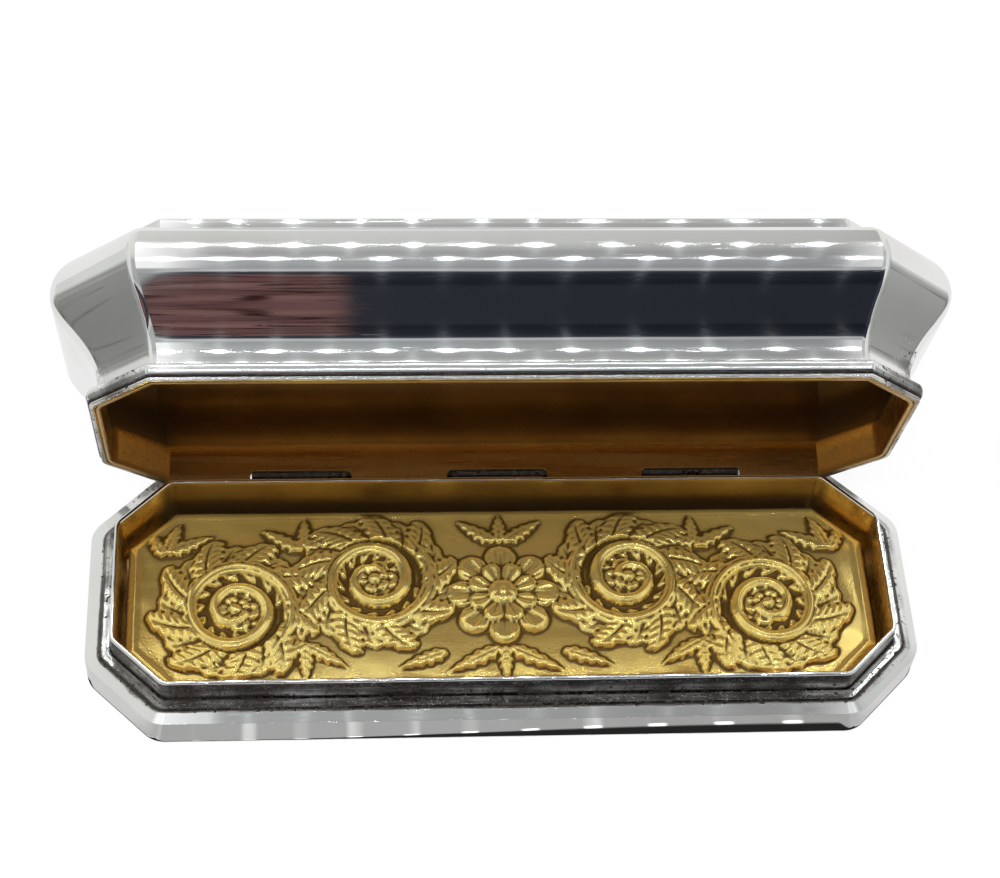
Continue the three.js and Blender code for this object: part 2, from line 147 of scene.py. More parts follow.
@dataclass(frozen=True)
class Plan:
    """Eight-sided outline that every section is offset from.

    Wall i faces 45 i degrees from +X, so 0 and 4 are the ends, 2 the back and 6 the front.
    """

    half_length: float = 50.0
    half_width: float = 15.0
    leg: float = 6.45
    bend_steps: int = 8
    end_steps: int = 16
    corner_steps: int = 14
    long_steps: int = 72

    def corners(self, out: np.ndarray) -> np.ndarray:
        """Corner points of the outline offset by out, shape (8, M, 2), corner i after wall i.

        Args:
            out: Offsets in millimetres, shape (M,).

        Returns:
            Corner points in millimetres.
        """
        a = self.half_length + out
        b = self.half_width + out
        c = self.leg + out * (2.0 - math.sqrt(2.0))
        x = np.array([a, a - c, c - a, -a, -a, c - a, a - c, a])
        y = np.array([b - c, b, b, b - c, c - b, -b, -b, c - b])
        return np.stack([x, y], -1)

    def loops(
        self,
        out: np.ndarray,
        end_round: np.ndarray,
        long_round: np.ndarray,
        back: np.ndarray | None = None,
        gap: float = 0.0,
    ) -> np.ndarray:
        """Outline rows with round bends.

        The bend at corner P between two walls is the arc of radius r round the point
        P - r / cos(22.5 deg) u, where u points out between the walls. Straight walls are
        divided closer together near their ends, as half of 1 - cos.

        Args:
            out: Offset of each row, shape (M,).
            end_round: Bend radius of each row beside the end walls.
            long_round: Bend radius of each row beside the long walls.
            back: Places along X of the columns on the back wall, from right to left.
            gap: Half of the length left out of the back wall; the rows then run open.

        Returns:
            Points of shape (M, N, 2), counter-clockwise from above.
        """
        corner = self.corners(out)
        bends = []
        for i in range(8):
            radius = (end_round if i in (0, 3, 4, 7) else long_round)[:, None, None]
            mid = math.radians(45.0 * (i + 0.5))
            lean = np.array([math.cos(mid), math.sin(mid)]) / math.cos(math.radians(22.5))
            turn = np.radians(np.linspace(45.0 * i, 45.0 * (i + 1), self.bend_steps + 1))
            spoke = np.stack([np.cos(turn), np.sin(turn)], -1)[None]
            bends.append(corner[i][:, None] + radius * (spoke - lean))
        strips, first = [], 0
        for i in range(8):
            wall = (i + 1) % 8
            strips.append(bends[i])
            start, stop = bends[i][:, -1:], bends[wall][:, :1]
            steps = {0: self.end_steps, 4: self.end_steps, 6: self.long_steps}
            count = steps.get(wall, self.corner_steps)
            if wall == 2 and gap:
                share = np.linspace(0.0, 1.0, 9)[None, 1:, None]
                edge = np.concatenate([np.full_like(start[..., :1], gap), start[..., 1:]], -1)
                strips.append(start + (edge - start) * share)
                first = sum(s.shape[1] for s in strips)
                edge = edge * np.array([-1.0, 1.0])
                strips.append(np.concatenate([edge, edge + (stop - edge) * share[:, :-1]], 1))
                continue
            if wall == 2 and back is not None:
                x = np.broadcast_to(back, (len(out), len(back)))
                strips.append(np.stack([x, np.broadcast_to(start[..., 1], x.shape)], -1))
                continue
            if wall == 2:
                count = self.long_steps
            share = 0.5 - 0.5 * np.cos(math.pi * np.arange(1, count) / count)
            strips.append(start + (stop - start) * share[None, :, None])
        return np.roll(np.concatenate(strips, 1), -first, axis=1)


@dataclass
class Skin:
    """Grid of points with a finish for each row and, for each point, dirt and painted shade."""

    points: np.ndarray
    finish: np.ndarray
    grime_and_shade: np.ndarray
    wrap_rows: bool = True
    wrap_columns: bool = True
    cap_rows: bool = False
    cap_columns: bool = False

    def cells(self) -> tuple[np.ndarray, np.ndarray]:
        """Row and column of the first corner of each face of the grid.

        Returns:
            Rows and columns, one of each per face.
        """
        rows, columns = self.points.shape[:2]
        r = np.arange(rows if self.wrap_rows else rows - 1)
        c = np.arange(columns if self.wrap_columns else columns - 1)
        return tuple(np.meshgrid(r, c, indexing="ij"))

    def faces(self) -> tuple[list[Sequence[int]], np.ndarray, int]:
        """Four-sided faces between neighbours of the grid, and the caps of open ends.

        Returns:
            Faces as lists of point numbers, the finish of each face, and the count of caps.
        """
        rows, columns = self.points.shape[:2]
        number = np.arange(rows * columns).reshape(rows, columns)
        r0, c0 = self.cells()
        r1, c1 = (r0 + 1) % rows, (c0 + 1) % columns
        quads = np.stack([number[r0, c0], number[r0, c1], number[r1, c1], number[r1, c0]], -1)
        finish = self.finish[r0].ravel()
        made = quads.reshape(-1, 4).tolist()
        caps = []
        if self.cap_rows:
            caps = [number[0, ::-1].tolist(), number[-1].tolist()]
        if self.cap_columns:
            caps = [number[:, 0].tolist(), number[::-1, -1].tolist()]
        first = self.finish[0] if self.cap_rows else self.finish[-1]
        extra = np.array([first, self.finish[-1]], int)[: len(caps)]
        return made + caps, np.concatenate([finish, extra]), len(caps)

    def lay(self) -> np.ndarray:
        """Length along the rows and across them at each corner of the grid's faces, in metres.

        Returns:
            Lengths along and across, for the UV map.
        """
        rows, columns = self.points.shape[:2]
        ring = self.points[:, list(range(columns)) + [0]]
        ring = ring[int(np.argmax(np.linalg.norm(np.diff(ring, axis=1), axis=-1).sum(1)))]
        strip = self.points[list(range(rows)) + [0], columns // 2]
        u, v = (
            np.concatenate([[0.0], np.cumsum(np.linalg.norm(np.diff(line, axis=0), axis=-1))]) * MM
            for line in (ring, strip)
        )
        r0, c0 = self.cells()
        along = np.stack([u[c0], u[c0 + 1], u[c0 + 1], u[c0]], -1)
        across = np.stack([v[r0], v[r0], v[r0 + 1], v[r0 + 1]], -1)
        return np.stack([along, across], -1).reshape(-1, 4, 2)

    def mesh(self, name: str) -> bpy.types.Mesh:
        """Mesh in metres with its faces outwards, smooth but for the caps.

        Args:
            name: Name of the mesh.

        Returns:
            The new mesh, with the dirt and painted shade as a point attribute and the lay of the sheet
            as its UV map.
        """
        flat = self.points.reshape(-1, 3)
        faces, finish, caps = self.faces()
        quads = np.array(faces[: len(faces) - caps])
        a, b, c, d = (flat[quads[:, k]] for k in range(4))
        volume = np.einsum("ij,ij->", a, np.cross(b, c)) + np.einsum("ij,ij->", a, np.cross(c, d))
        lay = self.lay()
        if volume < 0.0:
            faces = [face[::-1] for face in faces]
            lay = lay[:, ::-1]
        made = bpy.data.meshes.new(name)
        made.from_pydata((flat * MM).tolist(), [], faces)
        made.polygons.foreach_set("material_index", finish.astype(np.int32))
        soft = np.ones(len(faces), bool)
        soft[len(faces) - caps :] = False
        made.polygons.foreach_set("use_smooth", soft)
        attribute = made.attributes.new("grime_and_shade", "FLOAT", "POINT")
        attribute.data.foreach_set("value", self.grime_and_shade.ravel().astype(np.float32))
        spread = np.zeros((len(made.loops), 2), np.float32)
        spread[: lay.shape[0] * 4] = lay.reshape(-1, 2)
        made.uv_layers.new(name="lay").uv.foreach_set("vector", spread.ravel())
        made.update()
        return made


class Sketch:
    """Short-hand for the node tree of one material."""

    def __init__(self, name: str, glows: bool = False) -> None:
        """Starts a material with its main shader, or a glow, and its coordinates.

        Args:
            name: Name of the material.
            glows: Whether the main shader is an emission.
        """
        self.material = bpy.data.materials.new(name)
        self.material.use_nodes = True
        self.tree = self.material.node_tree
        self.shader = self.tree.nodes["Principled BSDF"]
        if glows:
            self.tree.nodes.remove(self.shader)
            self.shader = self.tree.nodes.new("ShaderNodeEmission")
            end = self.tree.nodes["Material Output"]
            self.tree.links.new(self.shader.outputs[0], end.inputs["Surface"])
        self.place = self.tree.nodes.new("ShaderNodeTexCoord").outputs["Object"]
        self.lay = self.node("ShaderNodeUVMap", {}, uv_map="lay").outputs["UV"]

    def put(self, socket: bpy.types.NodeSocket, value: Any) -> None:
        """Links value to socket if it is an output, or else sets it.

        Args:
            socket: Input to feed.
            value: An output, a number or a colour.
        """
        if isinstance(value, bpy.types.NodeSocket):
            self.tree.links.new(value, socket)
        else:
            socket.default_value = value

    def node(self, kind: str, inputs: dict[Any, Any], **settings: Any) -> bpy.types.Node:
        """Adds a node.

        Args:
            kind: Type name of the node.
            inputs: Value or output for each input, by name or number.
            settings: Properties of the node.

        Returns:
            The new node.
        """
        made = self.tree.nodes.new(kind)
        for key, value in settings.items():
            setattr(made, key, value)
        for key, value in inputs.items():
            self.put(made.inputs[key], value)
        return made

    def noise(
        self,
        pitch: float,
        detail: float = 2.0,
        stretch: Rgb = (1.0, 1.0, 1.0),
        turn: Rgb = (0.0, 0.0, 0.0),
        laid: bool = False,
    ) -> bpy.types.NodeSocket:
        """Noise with features of about that pitch.

        Args:
            pitch: Size of a feature in millimetres.
            detail: Octaves.
            stretch: Scale of the pattern along each axis; a small number draws it out.
            turn: Angles in radians that the pattern is turned by.
            laid: Whether the pattern follows the sheet rather than the axes.

        Returns:
            Value from 0 to 1.
        """
        inputs = {"Vector": self.lay if laid else self.place, "Rotation": turn, "Scale": stretch}
        place = self.node("ShaderNodeMapping", inputs)
        inputs = {"Vector": place.outputs[0], "Scale": 1.0 / (pitch * MM), "Detail": detail}
        return self.node("ShaderNodeTexNoise", inputs).outputs["Fac"]

    def math(self, sort: str, a: Any, b: Any = 0.0) -> bpy.types.NodeSocket:
        """One sum of two values."""
        return self.node("ShaderNodeMath", {0: a, 1: b}, operation=sort).outputs[0]

    def band(self, value: Any, low: float, high: float, to: float = 1.0) -> bpy.types.NodeSocket:
        """Value led smoothly from 0 at low to the given number at high.

        Args:
            value: What leads.
            low: Where it gives 0.
            high: Where it gives to.
            to: The number at high.

        Returns:
            The led value.
        """
        inputs = {"Value": value, "From Min": low, "From Max": high, "To Max": to}
        made = self.node("ShaderNodeMapRange", inputs, interpolation_type="SMOOTHSTEP")
        return made.outputs["Result"]

    def blend(self, share: Any, a: Any, b: Any, sort: str = "MIX") -> bpy.types.NodeSocket:
        """Colour between a at share 0 and b at share 1.

        Args:
            share: From 0 to 1.
            a: First colour.
            b: Second colour.
            sort: Kind of blend.

        Returns:
            The colour.
        """
        colours = [(*c, 1.0) if isinstance(c, tuple) else c for c in (a, b)]
        inputs = {0: share, 6: colours[0], 7: colours[1]}
        return self.node("ShaderNodeMix", inputs, data_type="RGBA", blend_type=sort).outputs[2]

    def attribute(self, name: str) -> bpy.types.NodeSocket:
        """Number that the mesh holds at each point."""
        return self.node("ShaderNodeAttribute", {}, attribute_name=name).outputs["Fac"]

    def bump(self, height: Any, depth: float, normal: Any = None) -> bpy.types.NodeSocket:
        """Normal bent by a height.

        Args:
            height: Value from 0 to 1.
            depth: Millimetres that a value of 1 stands for.
            normal: Normal to start from.

        Returns:
            The bent normal.
        """
        inputs = {"Height": height, "Distance": depth * MM, "Strength": 1.0}
        if normal is not None:
            inputs["Normal"] = normal
        return self.node("ShaderNodeBump", inputs).outputs[0]


@dataclass(frozen=True)
class SilverFinish:
    """Polished sterling with rubbed lines along the sheet, stains, and black oxidation in the hollows,
    whose dark and black colours also lay down painted shade.

    With a place along Y in millimetres, a piece is painted black up to it as painted shade, and clean
    behind it.
    """

    name: str = "polished_silver"
    metal: Rgb = (0.87, 0.87, 0.86)
    tarnish: Rgb = (0.66, 0.64, 0.60)
    stain_and_shade: Rgb = (0.13, 0.118, 0.105)
    oxide_and_shade: Rgb = (0.020, 0.016, 0.013)
    gloss: float = 0.03
    rubbed: float = 0.07
    painted_shade_to: float = 0.0

    def make(self) -> bpy.types.Material:
        """Material whose colour darkens with dirt and painted shade, and whose gloss follows rubbed
        lines.

        Returns:
            The material.
        """
        s = Sketch(self.name)
        grime_and_shade = s.attribute("grime_and_shade")
        # Up to the given place along Y the piece is painted black: painted shade.
        if self.painted_shade_to:
            depth = s.node("ShaderNodeSeparateXYZ", {0: s.place}).outputs["Y"]
            grime_and_shade = s.band(depth, (self.painted_shade_to + 0.1) * MM, (self.painted_shade_to - 0.1) * MM, 0.9)
        cloud = s.noise(14.0, 3.0)
        line = s.noise(0.30, 2.0, (0.03, 1.0, 1.0), laid=True)
        streak = s.noise(0.9, 4.0, (0.05, 1.0, 1.0), laid=True)
        cross = s.noise(0.30, 1.0, (0.04, 1.0, 1.0), (0.3, 0.2, 1.1))
        crumb = s.noise(0.7, 5.0)
        patch = s.noise(4.5, 4.0)
        uneven = s.math("ADD", s.band(patch, 0.25, 0.75), s.band(streak, 0.25, 0.75))
        lean = s.math("MULTIPLY", s.math("SUBTRACT", uneven, 1.0), s.band(grime_and_shade, 0.0, 0.25, 0.36))
        spread = s.math("ADD", grime_and_shade, lean)
        # The dark and black colours below follow the dirt-and-shade attribute, so they lay down painted
        # shade as well as real tarnish.
        stain_and_shade = s.band(spread, 0.08, 0.72)
        black = s.math("ADD", spread, s.math("MULTIPLY", s.math("SUBTRACT", crumb, 0.5), 0.8))
        pits = s.math("MULTIPLY", s.band(s.noise(0.55, 2.0), 0.60, 0.66), s.band(grime_and_shade, 0.10, 0.30))
        oxide_and_shade = s.math("MAXIMUM", s.band(black, 0.80, 1.00), pits)
        colour = s.blend(s.band(cloud, 0.45, 0.80, 0.40), self.metal, self.tarnish)
        colour = s.blend(stain_and_shade, colour, self.stain_and_shade)
        colour = s.blend(oxide_and_shade, colour, self.oxide_and_shade)
        s.put(s.shader.inputs["Base Color"], colour)
        s.put(s.shader.inputs["Metallic"], s.math("SUBTRACT", 1.0, s.math("MULTIPLY", oxide_and_shade, 0.8)))
        rough = s.math("ADD", self.gloss, s.band(line, 0.45, 0.75, self.rubbed * 0.5))
        rough = s.math("ADD", rough, s.band(cloud, 0.4, 0.8, self.rubbed * 0.4))
        dull = s.math("ADD", s.band(stain_and_shade, 0.0, 1.0, 0.20), s.band(oxide_and_shade, 0.0, 1.0, 0.30))
        s.put(s.shader.inputs["Roughness"], s.math("ADD", rough, dull))
        normal = s.bump(s.noise(9.0, 2.0), 0.0015)
        normal = s.bump(line, 0.0012, normal)
        normal = s.bump(s.noise(0.5, 2.0), 0.0002, normal)
        normal = s.bump(s.band(cross, 0.70, 0.76), 0.002, normal)
        normal = s.bump(s.math("ADD", oxide_and_shade, s.math("MULTIPLY", crumb, stain_and_shade)), 0.02, normal)
        s.put(s.shader.inputs["Normal"], normal)
        return s.material


@dataclass(frozen=True)
class GiltFinish:
    """Gilding, satin or bright, brown and dull in its hollows and where shade is painted."""

    name: str
    gold: Rgb
    worn: Rgb
    deep: Rgb
    gloss: float
    grain: float
    grain_depth: float
    cloud: float
    metallic: float

    def make(self) -> bpy.types.Material:
        """Material that is pale where dirt and painted shade are low, as on the crests, and brown where
        they lie, with a matted grain.

        Returns:
            The material.
        """
        s = Sketch(self.name)
        grime_and_shade = s.attribute("grime_and_shade")
        cloud = s.noise(self.cloud, 4.0)
        grain = s.noise(self.grain, 3.0)
        streak = s.noise(1.4, 3.0, (0.06, 1.0, 1.0))
        colour = s.blend(s.band(cloud, 0.42, 0.75, 0.55), self.gold, self.worn)
        colour = s.blend(s.band(grain, 0.40, 0.72, 0.45), colour, self.worn)
        hollow_and_shade = s.math("ADD", grime_and_shade, s.math("MULTIPLY", s.math("SUBTRACT", cloud, 0.5), 0.25))
        colour = s.blend(s.band(hollow_and_shade, 0.15, 0.95), colour, self.deep)
        s.put(s.shader.inputs["Base Color"], colour)
        metal = s.math("SUBTRACT", self.metallic, s.band(hollow_and_shade, 0.6, 1.1, 0.4))
        s.put(s.shader.inputs["Metallic"], metal)
        rough = s.math("ADD", self.gloss, s.math("MULTIPLY", s.band(streak, 0.4, 0.75), 0.10))
        rough = s.math("ADD", rough, s.band(hollow_and_shade, 0.2, 1.0, 0.25))
        s.put(s.shader.inputs["Roughness"], rough)
        normal = s.bump(s.noise(7.0, 2.0), 0.05)
        normal = s.bump(grain, self.grain_depth, normal)
        normal = s.bump(streak, self.grain_depth * 0.25, normal)
        s.put(s.shader.inputs["Normal"], normal)
        return s.material


@dataclass(frozen=True)
class Finishes:
    """Materials of the box."""

    silver: bpy.types.Material
    relief: bpy.types.Material
    lining: bpy.types.Material
    slot_shaded: bpy.types.Material
    worn: bpy.types.Material

    @classmethod
    def mixed(cls) -> "Finishes":
        """Makes each finish once.

        Returns:
            The finishes.
        """
        relief = GiltFinish(
            name="satin_gilt",
            gold=(1.0, 0.79, 0.27),
            worn=(0.95, 0.67, 0.155),
            deep=(0.10, 0.052, 0.008),
            gloss=0.18,
            grain=0.34,
            grain_depth=0.026,
            cloud=18.0,
            metallic=0.84,
        )
        lining = GiltFinish(
            name="bright_gilt",
            gold=(0.86, 0.57, 0.22),
            worn=(0.68, 0.42, 0.15),
            deep=(0.07, 0.034, 0.012),
            gloss=0.26,
            grain=0.5,
            grain_depth=0.004,
            cloud=11.0,
            metallic=1.0,
        )
        # Silver painted black up to 18.3 mm along Y: painted shade on the lid's hinge strip.
        slot_shaded = SilverFinish(name="silver_slot_shade", painted_shade_to=18.3)
        worn = SilverFinish(name="worn_silver", gloss=0.09, rubbed=0.10)
        return cls(SilverFinish().make(), relief.make(), lining.make(), slot_shaded.make(), worn.make())


def place(
    mesh: bpy.types.Mesh,
    body: Body,
    slot: str,
    materials: Sequence[bpy.types.Material],
    *nodes: str,
) -> bpy.types.Object:
    """Puts a finished mesh into the scene in place of CAD nodes.

    Args:
        mesh: Mesh in the frame, in metres; the object takes its name.
        body: Body that the piece moves with.
        slot: Name of a material slot; not used.
        materials: Materials in the order of the finish numbers.
        nodes: CAD nodes that the piece stands for.

    Returns:
        The new object.
    """
    for material in materials:
        mesh.materials.append(material)
    made = bpy.data.objects.new(mesh.name, mesh)
    bpy.context.scene.collection.objects.link(made)
    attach(made, body.value)
    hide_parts(*nodes)
    LOG.info("%s: %d faces, rides on %s", made.name, len(mesh.polygons), body.value)
    return made


def swept(
    plan: Plan,
    section: np.ndarray,
    end_round: float | np.ndarray,
    long_round: float | np.ndarray,
    back: np.ndarray | None = None,
    gap: float = 0.0,
) -> np.ndarray:
    """Section carried round the outline: row m is the outline at its offset, laid at its height.

    Args:
        plan: Outline.
        section: Offset and height pairs, shape (M, 2).
        end_round: Bend radius beside the end walls, one number or one for each row.
        long_round: Bend radius beside the long walls.
        back: Places of the columns on the back wall.
        gap: Half of the length left out of the back wall.

    Returns:
        Points of shape (M, N, 3).
    """
    out, height = section[:, 0], section[:, 1]
    ends, sides = (np.maximum(np.full_like(out, r), TINY) for r in (end_round, long_round))
    flat = plan.loops(out, ends, sides, back, gap)
    level = np.broadcast_to(height[:, None, None], (*flat.shape[:2], 1))
    return np.concatenate([flat, level], -1)


@dataclass(frozen=True)
class Base:
    """Lower half: skirt with its flange, ledge strip, bezel and bottom plate."""

    plan: Plan
    finishes: Finishes
    skirt_out: float = 3.95
    flange: float = 5.1
    flange_in: float = 0.64
    skirt_thick: float = 0.6
    skirt_edge: float = 0.03
    foot_edge: float = 0.35
    foot_turn: float = 1.1
    seat: float = 4.2
    droop: float = 0.12
    ledge_out: float = 2.15
    ledge_top: float = 5.4
    ledge_top_out: float = 1.9
    bezel_thick: float = 0.6
    bezel_top: float = 9.15
    plate: float = 0.6
    seam_at: float = 5.6
    hinge_room: float = 33.25
    back_half: float = 43.2

    def build(self) -> None:
        """Makes the base's pieces in order."""
        self.skirt()
        self.ledge()
        self.bezel()
        self.dress_plate()

    def back_places(self) -> np.ndarray:
        """Places along the back wall, closer together near its ends, as a cosine."""
        return self.back_half * np.cos(np.linspace(0.0, math.pi, 61))

    @staticmethod
    def bend(section: np.ndarray) -> np.ndarray:
        """Bend radius of each row of a section, larger further out."""
        return 0.6 + 0.8 * section[:, 0]

    def skirt(self) -> bpy.types.Object:
        """Skirt sheet: turned-in foot, upright side, and a flat flange cut down along the hinge.

        Returns:
            The piece's object.
        """
        out, thick, high = self.skirt_out, self.skirt_thick, self.flange
        section = rounded(
            [
                (out - self.foot_turn, 0.0, 0.0),
                (out, 0.0, self.foot_edge),
                (out, high, self.skirt_edge),
                (self.flange_in, high, 0.0),
                (self.flange_in, high - thick, 0.0),
                (out - thick, high - thick, 0.0),
                (out - thick, thick, 0.0),
                (out - self.foot_turn, thick, 0.0),
            ]
        )
        side = int(np.argmax(section[:, 1] > high / 2.0))
        rise = np.array([0.8, 1.6, 2.6, 3.6, 4.3, 4.6, 4.85])
        upright = np.stack([np.full_like(rise, out), rise], -1)
        section = np.insert(section, side, upright, axis=0)
        at = int(np.argmin(np.abs(section - np.array([self.flange_in, high])).sum(1)))
        across = np.linspace(section[at - 1, 0], self.flange_in, 30)[1:-1]
        level_rows = np.stack([across, np.full_like(across, high)], -1)
        section = np.insert(section, at, level_rows, axis=0)
        edges = self.hinge_room + np.array([-0.01, 0.01])
        back = np.sort(np.concatenate([self.back_places(), edges, -edges]))[::-1]
        points = swept(self.plan, section, self.bend(section), self.bend(section), back)
        x, y, z = np.moveaxis(points, -1, 0)
        out = section[:, 0][:, None]
        level = section[:, 1][:, None]
        lowered = (np.abs(x) < self.hinge_room) & (y > self.plan.half_width) & (level > self.seat)
        uneven = 0.04 * smooth(level, 4.0, 5.0) * (1.0 + ripple(x, y, z, 21.0)) / 2.0
        fall = self.droop * np.clip(out - self.ledge_out, 0.0, None) * smooth(level, 4.4, 4.6)
        points[..., 2] -= np.where(lowered, high - self.seat, uneven) + fall
        top = smooth(level, 4.6, 4.9)
        corner = smooth(np.abs(x), 42.0, 49.0) * smooth(np.abs(y), 8.0, 14.0)
        grime_and_shade = top * (0.06 + 0.78 * smooth(-out, -2.6, -2.15))
        grime_and_shade = np.maximum(grime_and_shade, top * 0.46 * corner * smooth(-out, -3.3, -2.2))
        # Darker round the foot: painted shade for the dark contact line that the foot reflects.
        grime_and_shade = np.maximum(grime_and_shade, 0.30 * smooth(-level, -0.6, -0.1))
        grime_and_shade = np.maximum(grime_and_shade, top * 0.52 * smooth(y, 14.0, 16.0))
        grime_and_shade = np.maximum(grime_and_shade, top * 0.22 * smooth(x, 50.6, 51.6) * smooth(-out, -3.7, -2.6))
        skin = Skin(points, np.full(len(section), Metal.SILVER), grime_and_shade + np.zeros_like(x))
        materials = [self.finishes.silver]
        return place(skin.mesh("foot_skirt"), Body.BASE, "silver", materials, "base_skirt")

    def ledge(self) -> bpy.types.Object:
        """Ledge strip: low and flat on the flange with a sloped outer edge, open along the hinge.

        Returns:
            The piece's object.
        """
        low, high = self.flange + 0.04, self.ledge_top
        section = rounded(
            [
                (self.flange_in, low, 0.0),
                (self.ledge_out, low, 0.04),
                (self.ledge_top_out, high, 0.12),
                (self.flange_in, high, 0.0),
            ]
        )
        across = np.linspace(section[-2, 0], self.flange_in, 14)[1:-1]
        level_rows = np.stack([across, np.full_like(across, high)], -1)
        section = np.insert(section, len(section) - 1, level_rows, axis=0)
        bend = self.bend(section)
        points = swept(self.plan, section, bend, bend, gap=self.hinge_room)
        out = section[:, 0][:, None] + np.zeros(points.shape[:2])
        grime_and_shade = 0.34 + 0.54 * smooth(-out, -0.95, -0.7) + 0.40 * smooth(out, 1.75, 1.95)
        skin = Skin(
            points, np.full(len(section), Metal.SILVER), grime_and_shade, wrap_columns=False, cap_columns=True
        )
        materials = [self.finishes.silver]
        return place(skin.mesh("foot_ledge"), Body.BASE, "silver", materials, "base_ledge")

    def bezel(self) -> bpy.types.Object:
        """Bezel strip: upright sheet with a round edge, gilt inside, its seam a lap at the back.

        Returns:
            The piece's object.
        """
        thick = self.bezel_thick
        section = rounded(
            [
                (0.0, self.plate, 0.0),
                (thick, self.plate, 0.0),
                (thick, self.bezel_top, 0.22),
                (0.0, self.bezel_top, 0.22),
            ],
            8,
        )
        split = int(np.argmax(section[:, 1] > self.plate + 0.1))
        top = self.bezel_top - 0.4
        rise = (top - self.plate) * np.linspace(0.0, 1.0, 13)[1:-1]
        outer = np.stack([np.full_like(rise, thick), self.plate + rise], -1)
        inside = np.stack([np.zeros_like(rise), top - rise], -1)
        section = np.concatenate([section[:split], outer, section[split:], inside])
        seam = self.seam_at + np.array([0.5, 0.12, 0.04, -0.02, -0.06, -0.4])
        ends = self.back_places()
        back = np.sort(np.concatenate([ends[np.abs(ends - self.seam_at) > 0.6], seam]))[::-1]
        inner = 1.3 + section[:, 0]
        points = swept(self.plan, section, inner, inner, back)
        x, y, z = np.moveaxis(points, -1, 0)
        behind = smooth(y, 14.0, 14.9)
        lap = 0.07 * smooth(x, self.seam_at - 0.02, self.seam_at + 0.04)
        lap = lap * (1.0 - smooth(x, 5.7, 30.0))
        up = smooth(z, 6.0, 9.0)
        points[..., 1] -= behind * lap * up
        points[..., 2] -= up * (0.05 * (1.0 + ripple(x, y, z, 33.0)) + behind * lap)
        points[..., 1] += 0.06 * up * ripple(x, y, 0.0 * z, 41.0) * (1.0 - behind)
        outside = (section[:, 0] > thick * 0.7)[:, None]
        level = section[:, 1][:, None]
        # Outside, the wall is darkened all over as a painted reflection of the darker things it faces,
        # and more towards its foot, where black corrosion lies.
        outer_stain_and_shade = 0.58 + 0.28 * smooth(-level, -6.1, -5.4)
        # Inside, the gilt is darker towards the back, low down by the floor and towards the left end:
        # painted shade.
        inner_painted_shade = 0.02 + 0.56 * smooth(y, 12.0, 14.6) + 0.10 * smooth(-level, -5.8, -4.2)
        inner_painted_shade = inner_painted_shade + 0.14 * smooth(-x, 44.0, 48.0)
        grime_and_shade = np.where(outside, outer_stain_and_shade, inner_painted_shade)
        crest = smooth(level, 8.85, 9.05)
        grime_and_shade = grime_and_shade * (1.0 - crest) + np.zeros_like(x)
        gilt = (section[:, 0] < thick * 0.25) & (section[:, 1] < self.bezel_top - 0.1)
        finish = np.where(gilt, Metal.GILT, Metal.SILVER)
        skin = Skin(points, finish, grime_and_shade)
        materials = [self.finishes.silver, self.finishes.lining]
        return place(skin.mesh("bezel_strip"), Body.BASE, "silver", materials, "base_bezel")

    def dress_plate(self) -> None:
        """Gives the bottom plate, which stays as the solid it is, the silver finish."""
        dress(self.finishes.silver, "base_plate")


def dress(material: bpy.types.Material, *nodes: str) -> None:
    """Puts a material on CAD nodes that stay.

    Args:
        material: Finish to put on.
        nodes: Names of the CAD nodes.
    """
    for name in nodes:
        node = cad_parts[name]
        node.data.materials.clear()
        node.data.materials.append(material)
        LOG.info("%s: kept as its solid", name)


